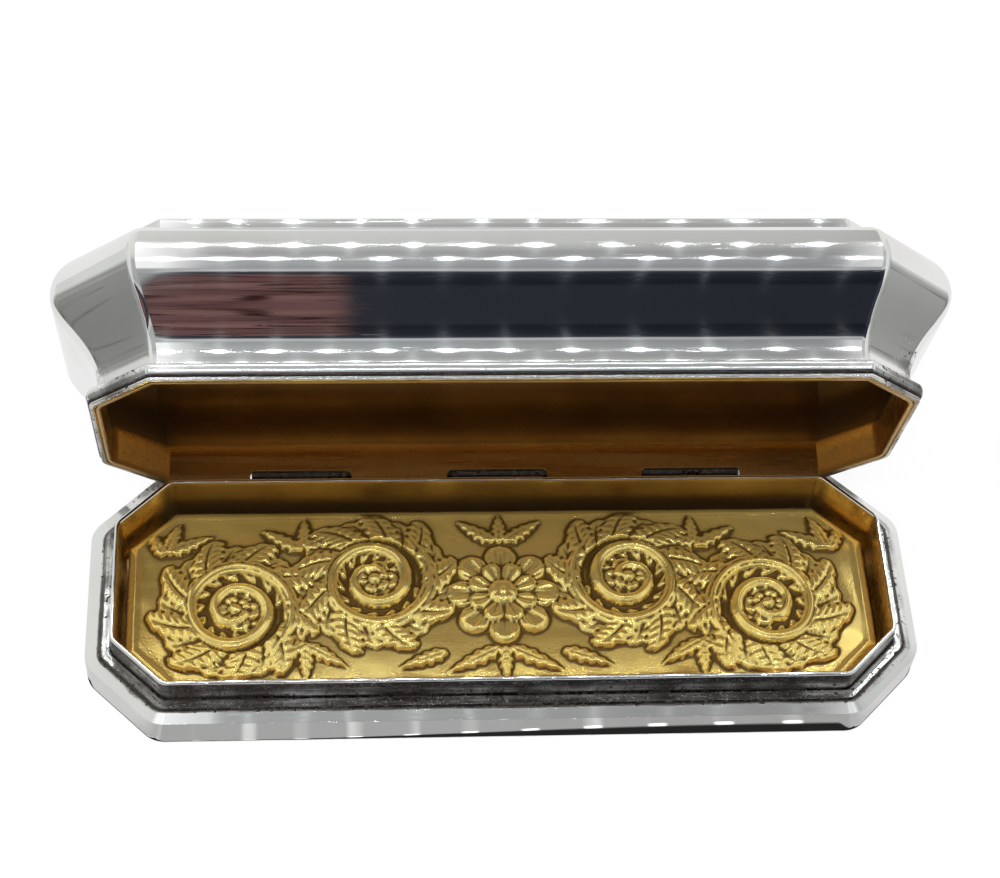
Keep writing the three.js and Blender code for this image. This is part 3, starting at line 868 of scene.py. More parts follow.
@dataclass(frozen=True)
class ReliefFloor:
    """Gilt floor sheet with its edge rolled down, and a running scroll of leaves raised on it."""

    finishes: Finishes
    half_length: float = 49.1
    half_width: float = 14.1
    leg: float = 5.92
    ground: float = 4.1
    foot: float = 0.62
    roll: float = 0.9
    rise: float = 1.75
    crown: float = 0.5
    rosette: float = 7.6
    scroll: float = 7.4
    scroll_at: tuple[float, float] = (16.8, 35.0)
    sway: float = 2.2
    stem: float = 1.25
    turns: float = 2.3
    leaf: float = 3.6
    leaves: int = 9
    sprigs: tuple[tuple[float, float, float, float, float], ...] = (
        (25.6, -7.2, -0.55, 6.4, 1.5),
        (25.9, -7.4, -2.60, 6.4, 1.5),
        (25.8, -7.6, -1.57, 5.0, 1.3),
        (26.2, 7.2, 0.55, 6.4, 1.5),
        (25.9, 7.4, 2.60, 6.4, 1.5),
        (26.0, 7.6, 1.57, 5.0, 1.3),
        (0.0, 8.0, 1.57, 5.0, 1.4),
        (0.6, 8.2, 0.62, 6.2, 1.5),
        (0.0, -8.0, -1.57, 5.0, 1.4),
        (0.6, -8.2, -0.45, 7.6, 1.6),
        (7.6, -8.6, -0.35, 6.6, 1.5),
        (44.2, 6.6, 1.90, 5.6, 1.5),
        (44.4, 6.4, 1.10, 5.0, 1.3),
        (44.0, 6.8, 2.70, 6.6, 1.5),
    )
    columns: int = 572
    rows: int = 165

    def half_at(self, y: np.ndarray) -> np.ndarray:
        """Half length of the sheet at y, shorter across the corners."""
        return self.half_length - np.clip(np.abs(y) - (self.half_width - self.leg), 0.0, None)

    @staticmethod
    def lobe(angle: np.ndarray, count: float) -> np.ndarray:
        """Place across one of count equal lobes round a turn, -1 to 1 with 0 in its middle."""
        phase = count * angle / (2.0 * math.pi)
        return 2.0 * (phase - np.round(phase))

    @staticmethod
    def blade(
        u: np.ndarray, t: np.ndarray, wide: np.ndarray, tall: float, veins: float
    ) -> np.ndarray:
        """Leaf blade: a low dome across, with a groove along its middle and slanting veins.

        Args:
            u: Place along the leaf, 0 at its root and 1 at its tip.
            t: Place across it.
            wide: Half width there, in the units of t.
            tall: Height of the leaf.
            veins: Veins along one side.

        Returns:
            Height, 0 outside the leaf.
        """
        edge = np.abs(t) / np.maximum(wide, 1e-3)
        body = tall * (1.0 - 0.30 * u) * (0.62 + 0.38 * dome(np.clip(edge, 0.0, 1.0)))
        rim = np.sqrt(np.clip((1.0 - edge) / 0.22, 0.0, 1.0))
        groove = 0.30 * bell(t / 0.085) * (1.0 - 0.5 * u)
        slant = 0.10 * np.cos(2.0 * math.pi * (veins * u - 1.1 * np.abs(t)))
        slant = slant * smooth(np.abs(t), 0.06, 0.2)
        inside = (u > -0.35) & (u < 1.0) & (edge < 1.0)
        return np.where(inside, rim * body * (1.0 - groove + slant), 0.0)

    @staticmethod
    def whorl(r: np.ndarray, t: np.ndarray, reach: float, low: float, lift: float) -> np.ndarray:
        """One ring of petals: cupped, rising outwards with the square of the distance, with fine ribs.

        Args:
            r: Distance from the middle.
            t: Place across the petal, -1 to 1.
            reach: Length of a petal.
            low: Height near the middle.
            lift: Height gained at the tip.

        Returns:
            Height from 0 to 1.
        """
        u = r / (reach * (0.66 + 0.34 * np.sqrt(np.cos(t * math.pi / 2.0))))
        body = (low + lift * u * u) * (1.0 - 0.50 * t**4) + 0.10 * t * t * smooth(u, 0.3, 0.8)
        vein = 0.13 * bell(t / 0.08) * smooth(u, 0.1, 0.4) * (1.0 - 0.5 * smooth(u, 0.7, 1.0))
        ribs = 0.05 * np.cos(4.4 * math.pi * t) * smooth(u, 0.35, 0.8)
        rim = np.sqrt(np.clip((1.0 - u) / 0.10, 0.0, 1.0)) * smooth(1.0 - np.abs(t), 0.0, 0.10)
        return rim * (body - vein + ribs)

    def flower(
        self, x: np.ndarray, y: np.ndarray, reach: float, petals: int, turn: float
    ) -> np.ndarray:
        """Two rings of petals round a beaded boss.

        Args:
            x: Places along the sheet from the flower's middle.
            y: Places across the sheet.
            reach: Radius of the flower.
            petals: Petals in a ring.
            turn: Angle of the first petal.

        Returns:
            Height from 0 to 1.
        """
        r = np.hypot(x, y)
        angle = np.arctan2(y, x) - turn
        outer = self.whorl(r, self.lobe(angle, petals), reach, 0.34, 0.22)
        inner = self.whorl(r, self.lobe(angle + math.pi / petals, petals), 0.64 * reach, 0.54, 0.24)
        size = 0.25 * reach
        beads = 0.14 * dome(0.9 * self.lobe(angle, 6)) * dome((r / size - 0.6) / 0.34)
        boss = 0.62 + 0.18 * dome(r / size) + beads + 0.20 * dome(3.1 * r / size)
        return np.maximum(np.maximum(outer, inner), np.where(r < size, boss, 0.0))

    def volute(self, x: np.ndarray, y: np.ndarray, hand: int) -> np.ndarray:
        """Spiral stem round a flower, with two rings of swept leaves outside it and leaflets inside.

        The stem lies where the distance from the middle is the scroll's radius less a share for
        each part of a turn. It is a dome across with two fine grooves.

        Args:
            x: Places along the sheet from the scroll's middle.
            y: Places across the sheet.
            hand: Sense of the spiral, 1 or -1.

        Returns:
            Height from 0 to 1.
        """
        r = np.hypot(x, y)
        angle = np.mod(hand * (np.arctan2(y, x) - math.pi), 2.0 * math.pi)
        height = 0.95 * self.flower(x, y, 3.3, 5, math.pi)
        out = (r - self.scroll - 0.2 * self.stem) / self.leaf
        for length, shift, tall, veins in ((0.70, 0.5, 0.42, 3.0), (1.05, 0.0, 0.64, 4.0)):
            u = out / length
            t = self.lobe(angle + (2.0 * shift * math.pi + 2.4 * out) / self.leaves, self.leaves)
            tip = np.clip(1.0 - np.clip(u, 0.0, 1.0) ** 1.4, 1e-4, None) ** 0.6
            scallop = 1.0 + 0.13 * np.cos(7.0 * math.pi * u)
            height = np.maximum(height, self.blade(u, t, 0.92 * tip * scallop, tall, veins))
        for turn in (-1, 0, 1):
            run = angle / (2.0 * math.pi) + turn
            share = 1.0 - run / self.turns
            wide = self.stem * (0.46 + 0.40 * share)
            if turn < 0:
                wide = np.clip(wide * smooth(run, -0.16, -0.01), 1e-3, None) * (run > -0.12)
            across = (r - self.scroll * share) / np.maximum(wide, 1e-3)
            cord = 0.80 * dome(across) ** 0.6 - 0.22 * bell((np.abs(across) - 0.42) / 0.13)
            height = np.maximum(height, np.where(np.abs(across) < 1.0, cord, 0.0))
            if turn < 0:
                continue
            inward = (self.scroll * share - 0.6 * wide - r) / 1.35
            t = self.lobe(angle + 0.25 * inward, 14)
            tip = np.clip(1.0 - np.clip(inward, 0.0, 1.0) ** 1.5, 1e-4, None) ** 0.6
            leaflet = self.blade(inward, t, 0.95 * tip, 0.42, 2.0)
            height = np.maximum(height, np.where(share > 0.35, leaflet, 0.0))
        return height

    def sprig(self, x: np.ndarray, y: np.ndarray, length: float, wide: float) -> np.ndarray:
        """One leaf along +X from the origin, widest at a third of its length, with toothed sides.

        Args:
            x: Places along the length in millimetres.
            y: Places along the depth in millimetres.
            length: Length of the leaf.
            wide: Half its width.

        Returns:
            Height from 0 to 1.
        """
        u = np.clip(x / length, 1e-4, 1.0)
        half = wide * 1.75 * np.sqrt(u) * (1.0 - u) * (1.0 + 0.16 * np.cos(10.0 * math.pi * u)) + 1e-3
        t = np.clip(y / half, -2.0, 2.0)
        return np.where((x > 0.0) & (x < length), self.blade(u, t, np.ones_like(u), 0.5, 5.0), 0.0)

    def relief(self, x: np.ndarray, y: np.ndarray) -> np.ndarray:
        """Highest of a rosette, two scrolls on each side of it and the sprigs between them, 0 to 1.

        Args:
            x: Places along the length in millimetres.
            y: Places along the depth in millimetres.

        Returns:
            Height from 0 to 1.
        """
        side = np.abs(x)
        height = self.flower(side, y, self.rosette, 8, 0.0)
        for k, hand in enumerate((1, -1)):
            scroll = self.volute(side - self.scroll_at[k], y - hand * self.sway, hand)
            height = np.maximum(height, scroll)
        for px, py, turn, length, wide in self.sprigs:
            u, v = side - px, y - py
            c, s = math.cos(turn), math.sin(turn)
            height = np.maximum(height, self.sprig(c * u + s * v, c * v - s * u, length, wide))
        return height

    @staticmethod
    def blurred(field: np.ndarray, passes: int) -> np.ndarray:
        """Field smoothed by repeated means of a quarter, a half and a quarter along both ways.

        Args:
            field: Values on the grid.
            passes: How often to smooth.

        Returns:
            The smoothed values.
        """
        for _ in range(passes):
            wide = np.pad(field, 1, mode="edge")
            field = 0.25 * wide[:-2, 1:-1] + 0.5 * wide[1:-1, 1:-1] + 0.25 * wide[2:, 1:-1]
            wide = np.pad(field, 1, mode="edge")
            field = 0.25 * wide[1:-1, :-2] + 0.5 * wide[1:-1, 1:-1] + 0.25 * wide[1:-1, 2:]
        return field

    def build(self) -> bpy.types.Object:
        """Sheet as heights on a grid that fills the outline, closed down to the plate.

        Height is the ground, less a quarter round along the edge and a slow fall towards the back,
        plus dents and the relief, which fades out towards the edge. Grime lies where the relief is
        lower than its own means over near and far, and towards the back.

        Returns:
            The piece's object.
        """
        y = np.linspace(-self.half_width, self.half_width, self.rows)[:, None]
        x = self.half_at(y) * np.linspace(-1.0, 1.0, self.columns)[None]
        y = y + np.zeros_like(x)
        slant = (self.half_length + self.half_width - self.leg - np.abs(x) - np.abs(y)) / math.sqrt(2.0)
        edge = np.minimum(np.minimum(self.half_length - np.abs(x), self.half_width - np.abs(y)), slant)
        lean = np.clip(1.0 - edge / self.roll, 0.0, 1.0)
        drop = self.roll * (1.0 - np.sqrt(np.clip(1.0 - lean * lean, 0.0, None)))
        bead = 0.16 * bell((edge - 1.15) / 0.42)
        level = np.zeros_like(x)
        dent = 0.07 * ripple(x, y, level, 13.0)
        dent = dent + 0.12 * bell((edge - 2.4) / 1.6) * ripple(x, y, level, 9.0)
        sway_x = x + 0.10 * ripple(x, y, level, 11.0)
        sway_y = y + 0.10 * ripple(y, x, level + 3.0, 12.0)
        raised = self.blurred(self.relief(sway_x, sway_y) * smooth(edge, 0.9, 2.3), 1)
        crown = self.crown * smooth(y, 6.0, self.half_width)
        dent = dent * (1.0 - smooth(raised, 0.02, 0.2))
        top = self.ground - drop + bead + dent + self.rise * raised - crown
        fine, near, far = (self.blurred(raised, passes) for passes in (2, 7, 40))
        # Darker where the relief lies below its own means: patina in the hollows, and painted shade
        # along the relief's edges.
        hollow_and_shade = np.clip(18.0 * (fine - raised), 0.0, 0.65)
        hollow_and_shade = hollow_and_shade + np.clip(7.5 * (near - raised), 0.0, 0.80)
        hollow_and_shade = hollow_and_shade + np.clip(1.1 * (far - raised), 0.0, 0.25)
        # Crests made lighter: a painted highlight.
        crest = np.clip(5.0 * (raised - near), 0.0, 0.5)
        # Darker towards the back and on the rolled-down edge: painted shade.
        behind = 0.08 * smooth(y, -12.5, -6.0) + 0.20 * smooth(y, 0.0, 14.0)
        grime_and_shade = np.clip(hollow_and_shade + behind - 0.6 * crest + 0.22 * smooth(lean, 0.6, 1.0), 0.0, 1.0)
        grid = np.arange(x.size).reshape(x.shape)
        ring = np.concatenate([grid[0, :-1], grid[:-1, -1], grid[-1, :0:-1], grid[:0:-1, 0]])
        points = np.stack([x, y, top], -1).reshape(-1, 3)
        foot = points[ring] * np.array([1.0, 1.0, 0.0]) + np.array([0.0, 0.0, self.foot])
        low = np.arange(len(ring)) + len(points)
        quads = np.stack([grid[:-1, :-1], grid[:-1, 1:], grid[1:, 1:], grid[1:, :-1]], -1)
        quads = quads.reshape(-1, 4)
        wall = np.stack([ring, low, np.roll(low, -1), np.roll(ring, -1)], -1)
        faces = quads.tolist() + wall.tolist() + [low[::-1].tolist()]
        mesh = bpy.data.meshes.new("floor_relief")
        mesh.from_pydata((np.concatenate([points, foot]) * MM).tolist(), [], faces)
        soft = np.zeros(len(faces), bool)
        soft[: len(quads)] = True
        mesh.polygons.foreach_set("use_smooth", soft)
        attribute = mesh.attributes.new("grime_and_shade", "FLOAT", "POINT")
        dark = np.concatenate([grime_and_shade.ravel(), np.full(len(ring), 0.4)])
        attribute.data.foreach_set("value", dark.astype(np.float32))
        mesh.update()
        return place(mesh, Body.BASE, "gilt", [self.finishes.relief], "floor_panel")


@dataclass(frozen=True)
class Lid:
    """Upper half: ogee wall, bead, crown sheet and step strip, drawn shut and turned open."""

    plan: Plan
    finishes: Finishes
    mouth: float = 5.6
    thick: float = 0.55
    neck_out: float = 1.45
    neck: float = 3.35
    wide_out: float = 7.45
    wide: float = 14.6
    shoulder_in: float = 3.75
    shoulder: float = 5.0
    shoulder_turn: float = 0.3
    step_out: float = 0.4
    step_thick: float = 0.7
    step: float = 3.45
    step_swell: float = 0.10
    rim: float = 2.25
    rim_out: float = 1.2
    rim_lip: float = 0.45
    rim_lip_out: float = 0.75
    rim_groove_out: float = 0.5
    rim_gilt: float = 0.34
    crown_edge: float = 0.06
    reach: tuple[float, float] = (57.0, 22.0)
    hinge_y: float = 17.15
    channel: float = 0.97
    hinge_room: float = 33.25
    knuckle: float = 13.2
    notch_clear: float = 0.25
    notch_round: float = 0.7
    notch_high: float = 1.35
    open_degrees: float = 76.9
    crease_round: float = 1.7
    end_round: float = 3.2

    def build(self) -> None:
        """Makes the lid's pieces in order."""
        self.wall()
        self.bead()
        self.crown()
        self.collar()

    def opened(self, points: np.ndarray) -> np.ndarray:
        """Points of the shut lid turned open about the hinge: y c + z s and z c - y s from the axis.

        Args:
            points: Points of the shut lid in millimetres.

        Returns:
            The points with the lid open.
        """
        a = math.radians(self.open_degrees)
        y, z = points[..., 1] - self.hinge_y, points[..., 2] - self.mouth
        turned_y = y * math.cos(a) + z * math.sin(a) + self.hinge_y
        turned_z = z * math.cos(a) - y * math.sin(a) + self.mouth
        return np.stack([points[..., 0], turned_y, turned_z], -1)

    def notch(self, x: np.ndarray) -> np.ndarray:
        """Height of the wall's edge at x: 0, or the notch with its round corners in three places.

        Args:
            x: Places along the back wall in millimetres.

        Returns:
            Heights in millimetres.
        """
        height = np.zeros_like(x)
        for middle in (-2.0 * self.knuckle, 0.0, 2.0 * self.knuckle):
            half = self.knuckle / 2.0 - 0.05 + self.notch_clear
            inside = half - np.abs(x - middle)
            round_off = np.clip(self.notch_round - inside, 0.0, self.notch_round)
            arch = self.notch_high - self.notch_round + np.sqrt(self.notch_round**2 - round_off**2)
            height = np.where(inside > 0.0, arch, height)
        return height

    def back_columns(self) -> np.ndarray:
        """Places of the back wall's columns, close together at the notches' sides and corners.

        Returns:
            Places in millimetres, falling.
        """
        places = [43.0 * np.cos(np.linspace(0.0, math.pi, 61))]
        for middle in (-2.0 * self.knuckle, 0.0, 2.0 * self.knuckle):
            half = self.knuckle / 2.0 - 0.05 + self.notch_clear
            inset = np.array([-0.12, -0.01, 0.002, 0.03, 0.08, 0.16, 0.27, 0.4, 0.55, 0.7])
            places.extend([middle - half + inset, middle + half - inset])
        room = np.array([self.hinge_room, self.hinge_room + 0.02])
        places.extend([room, -room])
        merged = np.sort(np.concatenate(places))[::-1]
        return merged[np.concatenate([[True], -np.diff(merged) > 0.004])]

    def line(self, flare: float) -> np.ndarray:
        """Side of the wall from the mouth up: neck, ogee of half a cosine, quarter-ellipse shoulder.

        Args:
            flare: Distance that the neck flares out just above the bead, by (1 - h) squared.

        Returns:
            Offsets and heights.
        """
        low = np.array([0.0, 0.08, 0.16, 0.25, 0.35, 0.45, 0.55, 0.64, 0.7, 0.85, 1.1, 1.6, 2.2])
        h = np.linspace(0.0, 1.0, 9)[:-1]
        neck_high = self.rim + (self.neck - self.rim) * h
        neck_out = self.neck_out + flare * (1.0 - h) ** 2
        t = np.linspace(0.0, 1.0, 45)
        ogee_out = self.neck_out + (self.wide_out - self.neck_out) * (1.0 - np.cos(math.pi * t)) / 2.0
        ogee_high = self.neck + (self.wide - self.neck) * t
        a = np.linspace(0.0, math.pi / 2.0, 29)[1:]
        top_out = self.wide_out - self.shoulder_in * (1.0 - np.cos(a))
        top_high = self.wide + self.shoulder * np.sin(a)
        end = [top_out[-1] - self.shoulder_turn]
        out = np.concatenate([np.full(len(low), self.neck_out), neck_out, ogee_out, top_out, end])
        return np.stack([out, np.concatenate([low, neck_high, ogee_high, top_high, top_high[-1:]])], -1)

    def wall(self) -> bpy.types.Object:
        """Wall sheet of even thickness, gilt inside, with notches and the tube's channel behind.

        Returns:
            The piece's object.
        """
        line = self.line(0.0)
        step = np.gradient(line, axis=0)
        normal = np.stack([step[:, 1], -step[:, 0]], -1) / np.linalg.norm(step, axis=1)[:, None]
        inner = (line - normal * self.thick)[::-1]
        section = np.concatenate([self.line(0.13), inner])
        count = len(line)
        soft_end = np.repeat([self.end_round, self.end_round - self.thick], count)
        crisp = np.repeat([self.crease_round, TINY], count)
        shut = section + np.array([0.0, self.mouth])
        points = swept(self.plan, shut, soft_end, crisp, self.back_columns())
        x, y, z = np.moveaxis(points, -1, 0)
        behind = (y > self.plan.half_width) & (np.abs(x) < 43.05)
        floor = np.where(behind, self.notch(x), 0.0)
        high = z - self.mouth
        share = np.clip(1.0 - high / self.neck, 0.0, 1.0)
        high = high + floor * share
        cut = np.sqrt(np.clip(self.channel**2 - high**2, 0.0, None))
        limit = np.where(np.abs(x) <= self.hinge_room, self.hinge_y - cut, 1e3)
        y = np.where(behind & (high < self.channel), np.minimum(y, limit), y)
        body = smooth(high, 3.0, 7.0)[..., None] * (1.0 - smooth(high, 18.0, 19.5))[..., None]
        away = np.stack([x / self.reach[0], y / self.reach[1], 0.0 * x], -1)
        points = np.stack([x, y, high + self.mouth], -1)
        points = points - 0.02 * body * away * (1.0 + ripple(x, y, 2.0 * high, 37.0))[..., None]
        outside = np.arange(len(section))[:, None] < count
        right = smooth(x, 46.0, 52.0) * smooth(-y, 2.0, 10.0)
        left = smooth(-x, 46.0, 52.0) * smooth(-y, 2.0, 10.0)
        grime_and_shade = 0.60 * smooth(-high, -2.9, -2.25)
        grime_and_shade = np.maximum(grime_and_shade, 0.40 * right * bell((high - 4.6) / 3.0))
        grime_and_shade = np.maximum(grime_and_shade, 0.24 * left * bell((high - 4.0) / 2.0))
        end = smooth(np.abs(x), 42.5, 44.5)
        # Inside, the gilt lining is darkened as painted shade: deep in the lid, near its mouth and
        # towards its ends.
        lining = 0.04 + 0.52 * smooth(high, 4.95, 5.2)
        lining = lining + 0.30 * smooth(-high, -1.2, -0.2) + 0.16 * end
        lining = lining * smooth(high, 0.02, 0.10) + 0.30 * end * smooth(-high, -0.10, -0.02)
        grime_and_shade = np.where(outside, grime_and_shade, lining)
        finish = np.where(np.arange(len(section)) >= count, Metal.GILT, Metal.SILVER)
        skin = Skin(self.opened(points), finish, grime_and_shade)
        materials = [self.finishes.silver, self.finishes.lining]
        return place(skin.mesh("lid_shell"), Body.LID, "silver", materials, "lid_wall")

    def bead(self) -> bpy.types.Object:
        """Rim wire outside the mouth: lip, groove and half-round bead, open along the hinge.

        Returns:
            The piece's object.
        """
        inside = self.neck_out + 0.01
        low = self.rim_lip + 0.12
        t = np.linspace(-math.pi / 2.0, math.pi / 2.0, 21)
        full = np.sqrt(np.clip(np.cos(t), 0.0, None))
        bead_out = inside + self.rim_groove_out + (self.rim_out - self.rim_groove_out) * full
        bead_high = low + (self.rim - low) * (1.0 + np.sin(t)) / 2.0
        lip = rounded(
            [
                (inside, 0.0, 0.0),
                (inside + self.rim_gilt, 0.0, 0.0),
                (inside + self.rim_lip_out, 0.0, 0.14),
                (inside + self.rim_lip_out, self.rim_lip, 0.14),
                (inside + self.rim_groove_out, self.rim_lip + 0.06, 0.0),
            ]
        )
        section = np.concatenate([lip, np.stack([bead_out, bead_high], -1), [[inside, self.rim]]])
        shut = section + np.array([0.0, self.mouth])
        points = swept(self.plan, shut, 1.8, 0.8, gap=self.hinge_room)
        x, y, z = np.moveaxis(points, -1, 0)
        points[..., 2] += 0.04 * ripple(x, y, z, 17.0) * smooth(z, self.mouth + 0.3, self.mouth + 1.2)
        level = section[:, 1][:, None]
        knock = 0.014 * ripple(x, y, 0.3 * z, 3.4) * smooth(level, low + 0.2, low + 0.5)
        points[..., 0] += knock * x / self.reach[0]
        points[..., 1] += knock * y / self.reach[1]
        groove = smooth(level, self.rim_lip, self.rim_lip + 0.04)
        groove = groove * smooth(-level, -low - 0.14, -low - 0.08)
        grime_and_shade = groove + 0.66 * smooth(level, 2.05, self.rim)
        worn = 0.05 + 0.40 * smooth(np.abs(x), 44.0, 48.0)
        grime_and_shade = np.maximum(grime_and_shade, worn) + 0.08 * ripple(x, y, z, 8.0)
        skin = Skin(
            self.opened(points),
            np.where(np.arange(len(section)) < 1, Metal.GILT, Metal.SILVER),
            np.clip(grime_and_shade, 0.0, 1.0),
            wrap_columns=False,
            cap_columns=True,
        )
        materials = [self.finishes.worn, self.finishes.lining]
        return place(skin.mesh("lid_bead"), Body.LID, "silver", materials, "lid_rim")

    def crown(self) -> bpy.types.Object:
        """Crown sheet: rows of the outline shrunk towards the middle, silver over gilt.

        Returns:
            The piece's object.
        """
        top = self.mouth + self.wide + self.shoulder
        edge = self.wide_out - self.shoulder_in - self.shoulder_turn - 0.015
        shrink = np.linspace(1.0, 0.04, 22)
        scale = np.concatenate([shrink[::-1], [1.0, 1.0], shrink])
        count, under = len(shrink), top - self.thick
        levels = [under, under + self.crown_edge, top - self.crown_edge, top]
        level = np.repeat(levels, [count, 1, 1, count])
        out = np.full(len(scale), edge)
        out[[count - 1, count + 2]] -= self.crown_edge
        section = np.stack([out, level], -1)
        points = swept(self.plan, section, self.end_round, self.crease_round)
        points[..., :2] *= scale[:, None, None]
        lower = np.arange(len(scale)) < count
        points[..., 2] -= (0.10 * (1.0 - scale**2))[:, None]
        # The gilt underside is darkened as painted shade, like the lid's lining.
        grime_and_shade = np.where(lower, 0.32, 0.05)[:, None] + np.zeros(points.shape[:2])
        finish = np.where(lower, Metal.GILT, Metal.SILVER)
        skin = Skin(self.opened(points), finish, grime_and_shade, wrap_rows=False, cap_rows=True)
        materials = [self.finishes.silver, self.finishes.lining]
        return place(skin.mesh("lid_crown"), Body.LID, "silver", materials, "lid_top")

    def collar(self) -> bpy.types.Object:
        """Step strip: upright sheet round the crown, swelling by half a sine, with rounded edges.

        Returns:
            The piece's object.
        """
        low = self.mouth + self.wide + self.shoulder
        high = low + self.step
        inside = self.step_out - self.step_thick
        section = rounded(
            [
                (inside, low, 0.0),
                (self.step_out, low, 0.0),
                (self.step_out, high, 0.4),
                (inside, high, 0.2),
            ]
        )
        rise = low + np.array([0.1, 0.25, 0.5, 0.8, 1.2, 1.6, 2.0, 2.4, 2.8])
        swell = self.step_swell * np.sin(math.pi * (rise - low) / self.step)
        outer = np.stack([self.step_out + swell, rise], -1)
        inner = np.stack([np.full_like(rise, inside), rise[::-1]], -1)
        section = np.concatenate([section[:2], outer, section[2:], inner])
        points = swept(self.plan, section, 1.6, 0.7)
        x, y, z = np.moveaxis(points, -1, 0)
        up = smooth(z, low + 0.5, high)
        points[..., 1] += 0.04 * up * ripple(x, y, z, 29.0) * np.sign(y)
        level = z - low
        grime_and_shade = 0.60 * smooth(-level, -0.5, -0.1) + 0.04
        skin = Skin(self.opened(points), np.full(len(section), Metal.SILVER), grime_and_shade)
        materials = [self.finishes.silver]
        return place(skin.mesh("lid_collar"), Body.LID, "silver", materials, "lid_step")


@dataclass(frozen=True)
class Hinge:
    """Five tube lengths on one pin, and the two strips that carry them."""

    finishes: Finishes
    axis_y: float = 17.15
    axis_z: float = 5.6
    length: float = 13.2
    radius: float = 0.85
    bore: float = 0.5
    edge: float = 0.12
    bore_edge: float = 0.06
    gap: float = 0.2
    count: int = 5
    sides: int = 48

    def build(self) -> None:
        """Makes the tubes and dresses the strips and the pin."""
        for i in range(self.count):
            self.tube(i)
        dress(self.finishes.silver, "base_bearer", "hinge_pin")
        # The lid's hinge strip is painted black up to a place along Y as painted shade.
        dress(self.finishes.slot_shaded, "lid_bearer")

    def tube(self, i: int) -> bpy.types.Object:
        """Tube length i: a section of radius and place along X turned round the hinge axis.

        Args:
            i: Number of the tube from the left; even ones are the base's.

        Returns:
            The new piece.
        """
        half = self.count * self.length / 2.0
        low = -half + i * self.length + (self.gap / 2.0 if i else 0.0)
        high = -half + (i + 1) * self.length - (self.gap / 2.0 if i < self.count - 1 else 0.0)
        section = rounded(
            [
                (self.radius, low, self.edge),
                (self.radius, high, self.edge),
                (self.bore, high, self.bore_edge),
                (self.bore, low, self.bore_edge),
            ]
        )
        turn = 2.0 * math.pi * np.arange(self.sides) / self.sides
        points = np.stack(
            [
                section[:, 1:] + 0.0 * turn,
                self.axis_y + section[:, :1] * np.cos(turn),
                self.axis_z + section[:, :1] * np.sin(turn),
            ],
            -1,
        )
        ends = np.minimum(section[:, 1] - low, high - section[:, 1])
        # Painted shade: the base's tubes, which sit in the lid's notches, are made near black, the
        # lid's tubes less dark, and every tube darker at its ends between the tubes.
        dark = 0.55 if i % 2 else 0.92
        grime_and_shade = np.maximum(dark, 0.90 * smooth(-ends, -0.4, 0.0))[:, None] + 0.0 * turn
        skin = Skin(points, np.full(len(section), Metal.SILVER), grime_and_shade)
        body = Body.LID if i % 2 else Body.BASE
        node = f"{body.value}_knuckle_{i // 2 + 1}"
        return place(skin.mesh(f"tube_{i + 1}"), body, "silver", [self.finishes.silver], node)


def reflected(mesh: bpy.types.Mesh, material: bpy.types.Material) -> bpy.types.Object:
    """Puts a stage mesh into the scene that only reflections see.

    Args:
        mesh: Mesh of the stage piece.
        material: Its glow.

    Returns:
        The stage object.
    """
    mesh.materials.append(material)
    made = bpy.data.objects.new(mesh.name, mesh)
    bpy.context.scene.collection.objects.link(made)
    made.visible_camera = False
    made.visible_diffuse = False
    made.visible_shadow = False
    return made


@dataclass(frozen=True)
class Card:
    """Upright grey card, fading from one strength at its foot to another at its head.

    With a rim, it fades to the rim's strength round its edge and bears blots with a dark outline.
    """

    name: str
    foot: Rgb
    head: Rgb
    colour: Rgb
    dim: float
    bright: float
    rim: float = 0.0

    def build(self) -> bpy.types.Object:
        """Rectangle between two corners, its glow led by height.

        Returns:
            The stage object.
        """
        (x0, y0, z0), (x1, y1, z1) = self.foot, self.head
        mesh = bpy.data.meshes.new(self.name)
        mesh.from_pydata([(x0, y0, z0), (x1, y1, z0), (x1, y1, z1), (x0, y0, z1)], [], [(0, 1, 2, 3)])
        s = Sketch(self.name, glows=True)
        split = s.node("ShaderNodeSeparateXYZ", {0: s.place})
        inputs = {"Value": split.outputs["Z"], "From Min": z0, "From Max": z1}
        inputs.update({"To Min": self.dim, "To Max": self.bright})
        glow = s.node("ShaderNodeMapRange", inputs).outputs["Result"]
        if self.rim:
            blot = s.noise(40.0, 0.5, (1.0, 2.4, 1.3))
            away = s.math("ABSOLUTE", s.math("SUBTRACT", blot, 0.5))
            outline = s.band(away, 0.024, 0.004, -0.09)
            glow = s.math("ADD", s.math("ADD", glow, outline), s.band(blot, 0.495, 0.505, 0.06))
            side = s.math("ABSOLUTE", s.math("SUBTRACT", split.outputs["Y"], (y0 + y1) / 2.0))
            edge = s.math("SUBTRACT", abs(y1 - y0) / 2.0, side)
            edge = s.math("MINIMUM", edge, s.math("SUBTRACT", z1, split.outputs["Z"]))
            share = s.band(edge, 0.0, 0.016)
            above = s.math("MULTIPLY", s.math("SUBTRACT", glow, self.rim), share)
            glow = s.math("ADD", above, self.rim)
        s.put(s.shader.inputs["Color"], (*self.colour, 1.0))
        s.put(s.shader.inputs["Strength"], glow)
        return reflected(mesh, s.material)


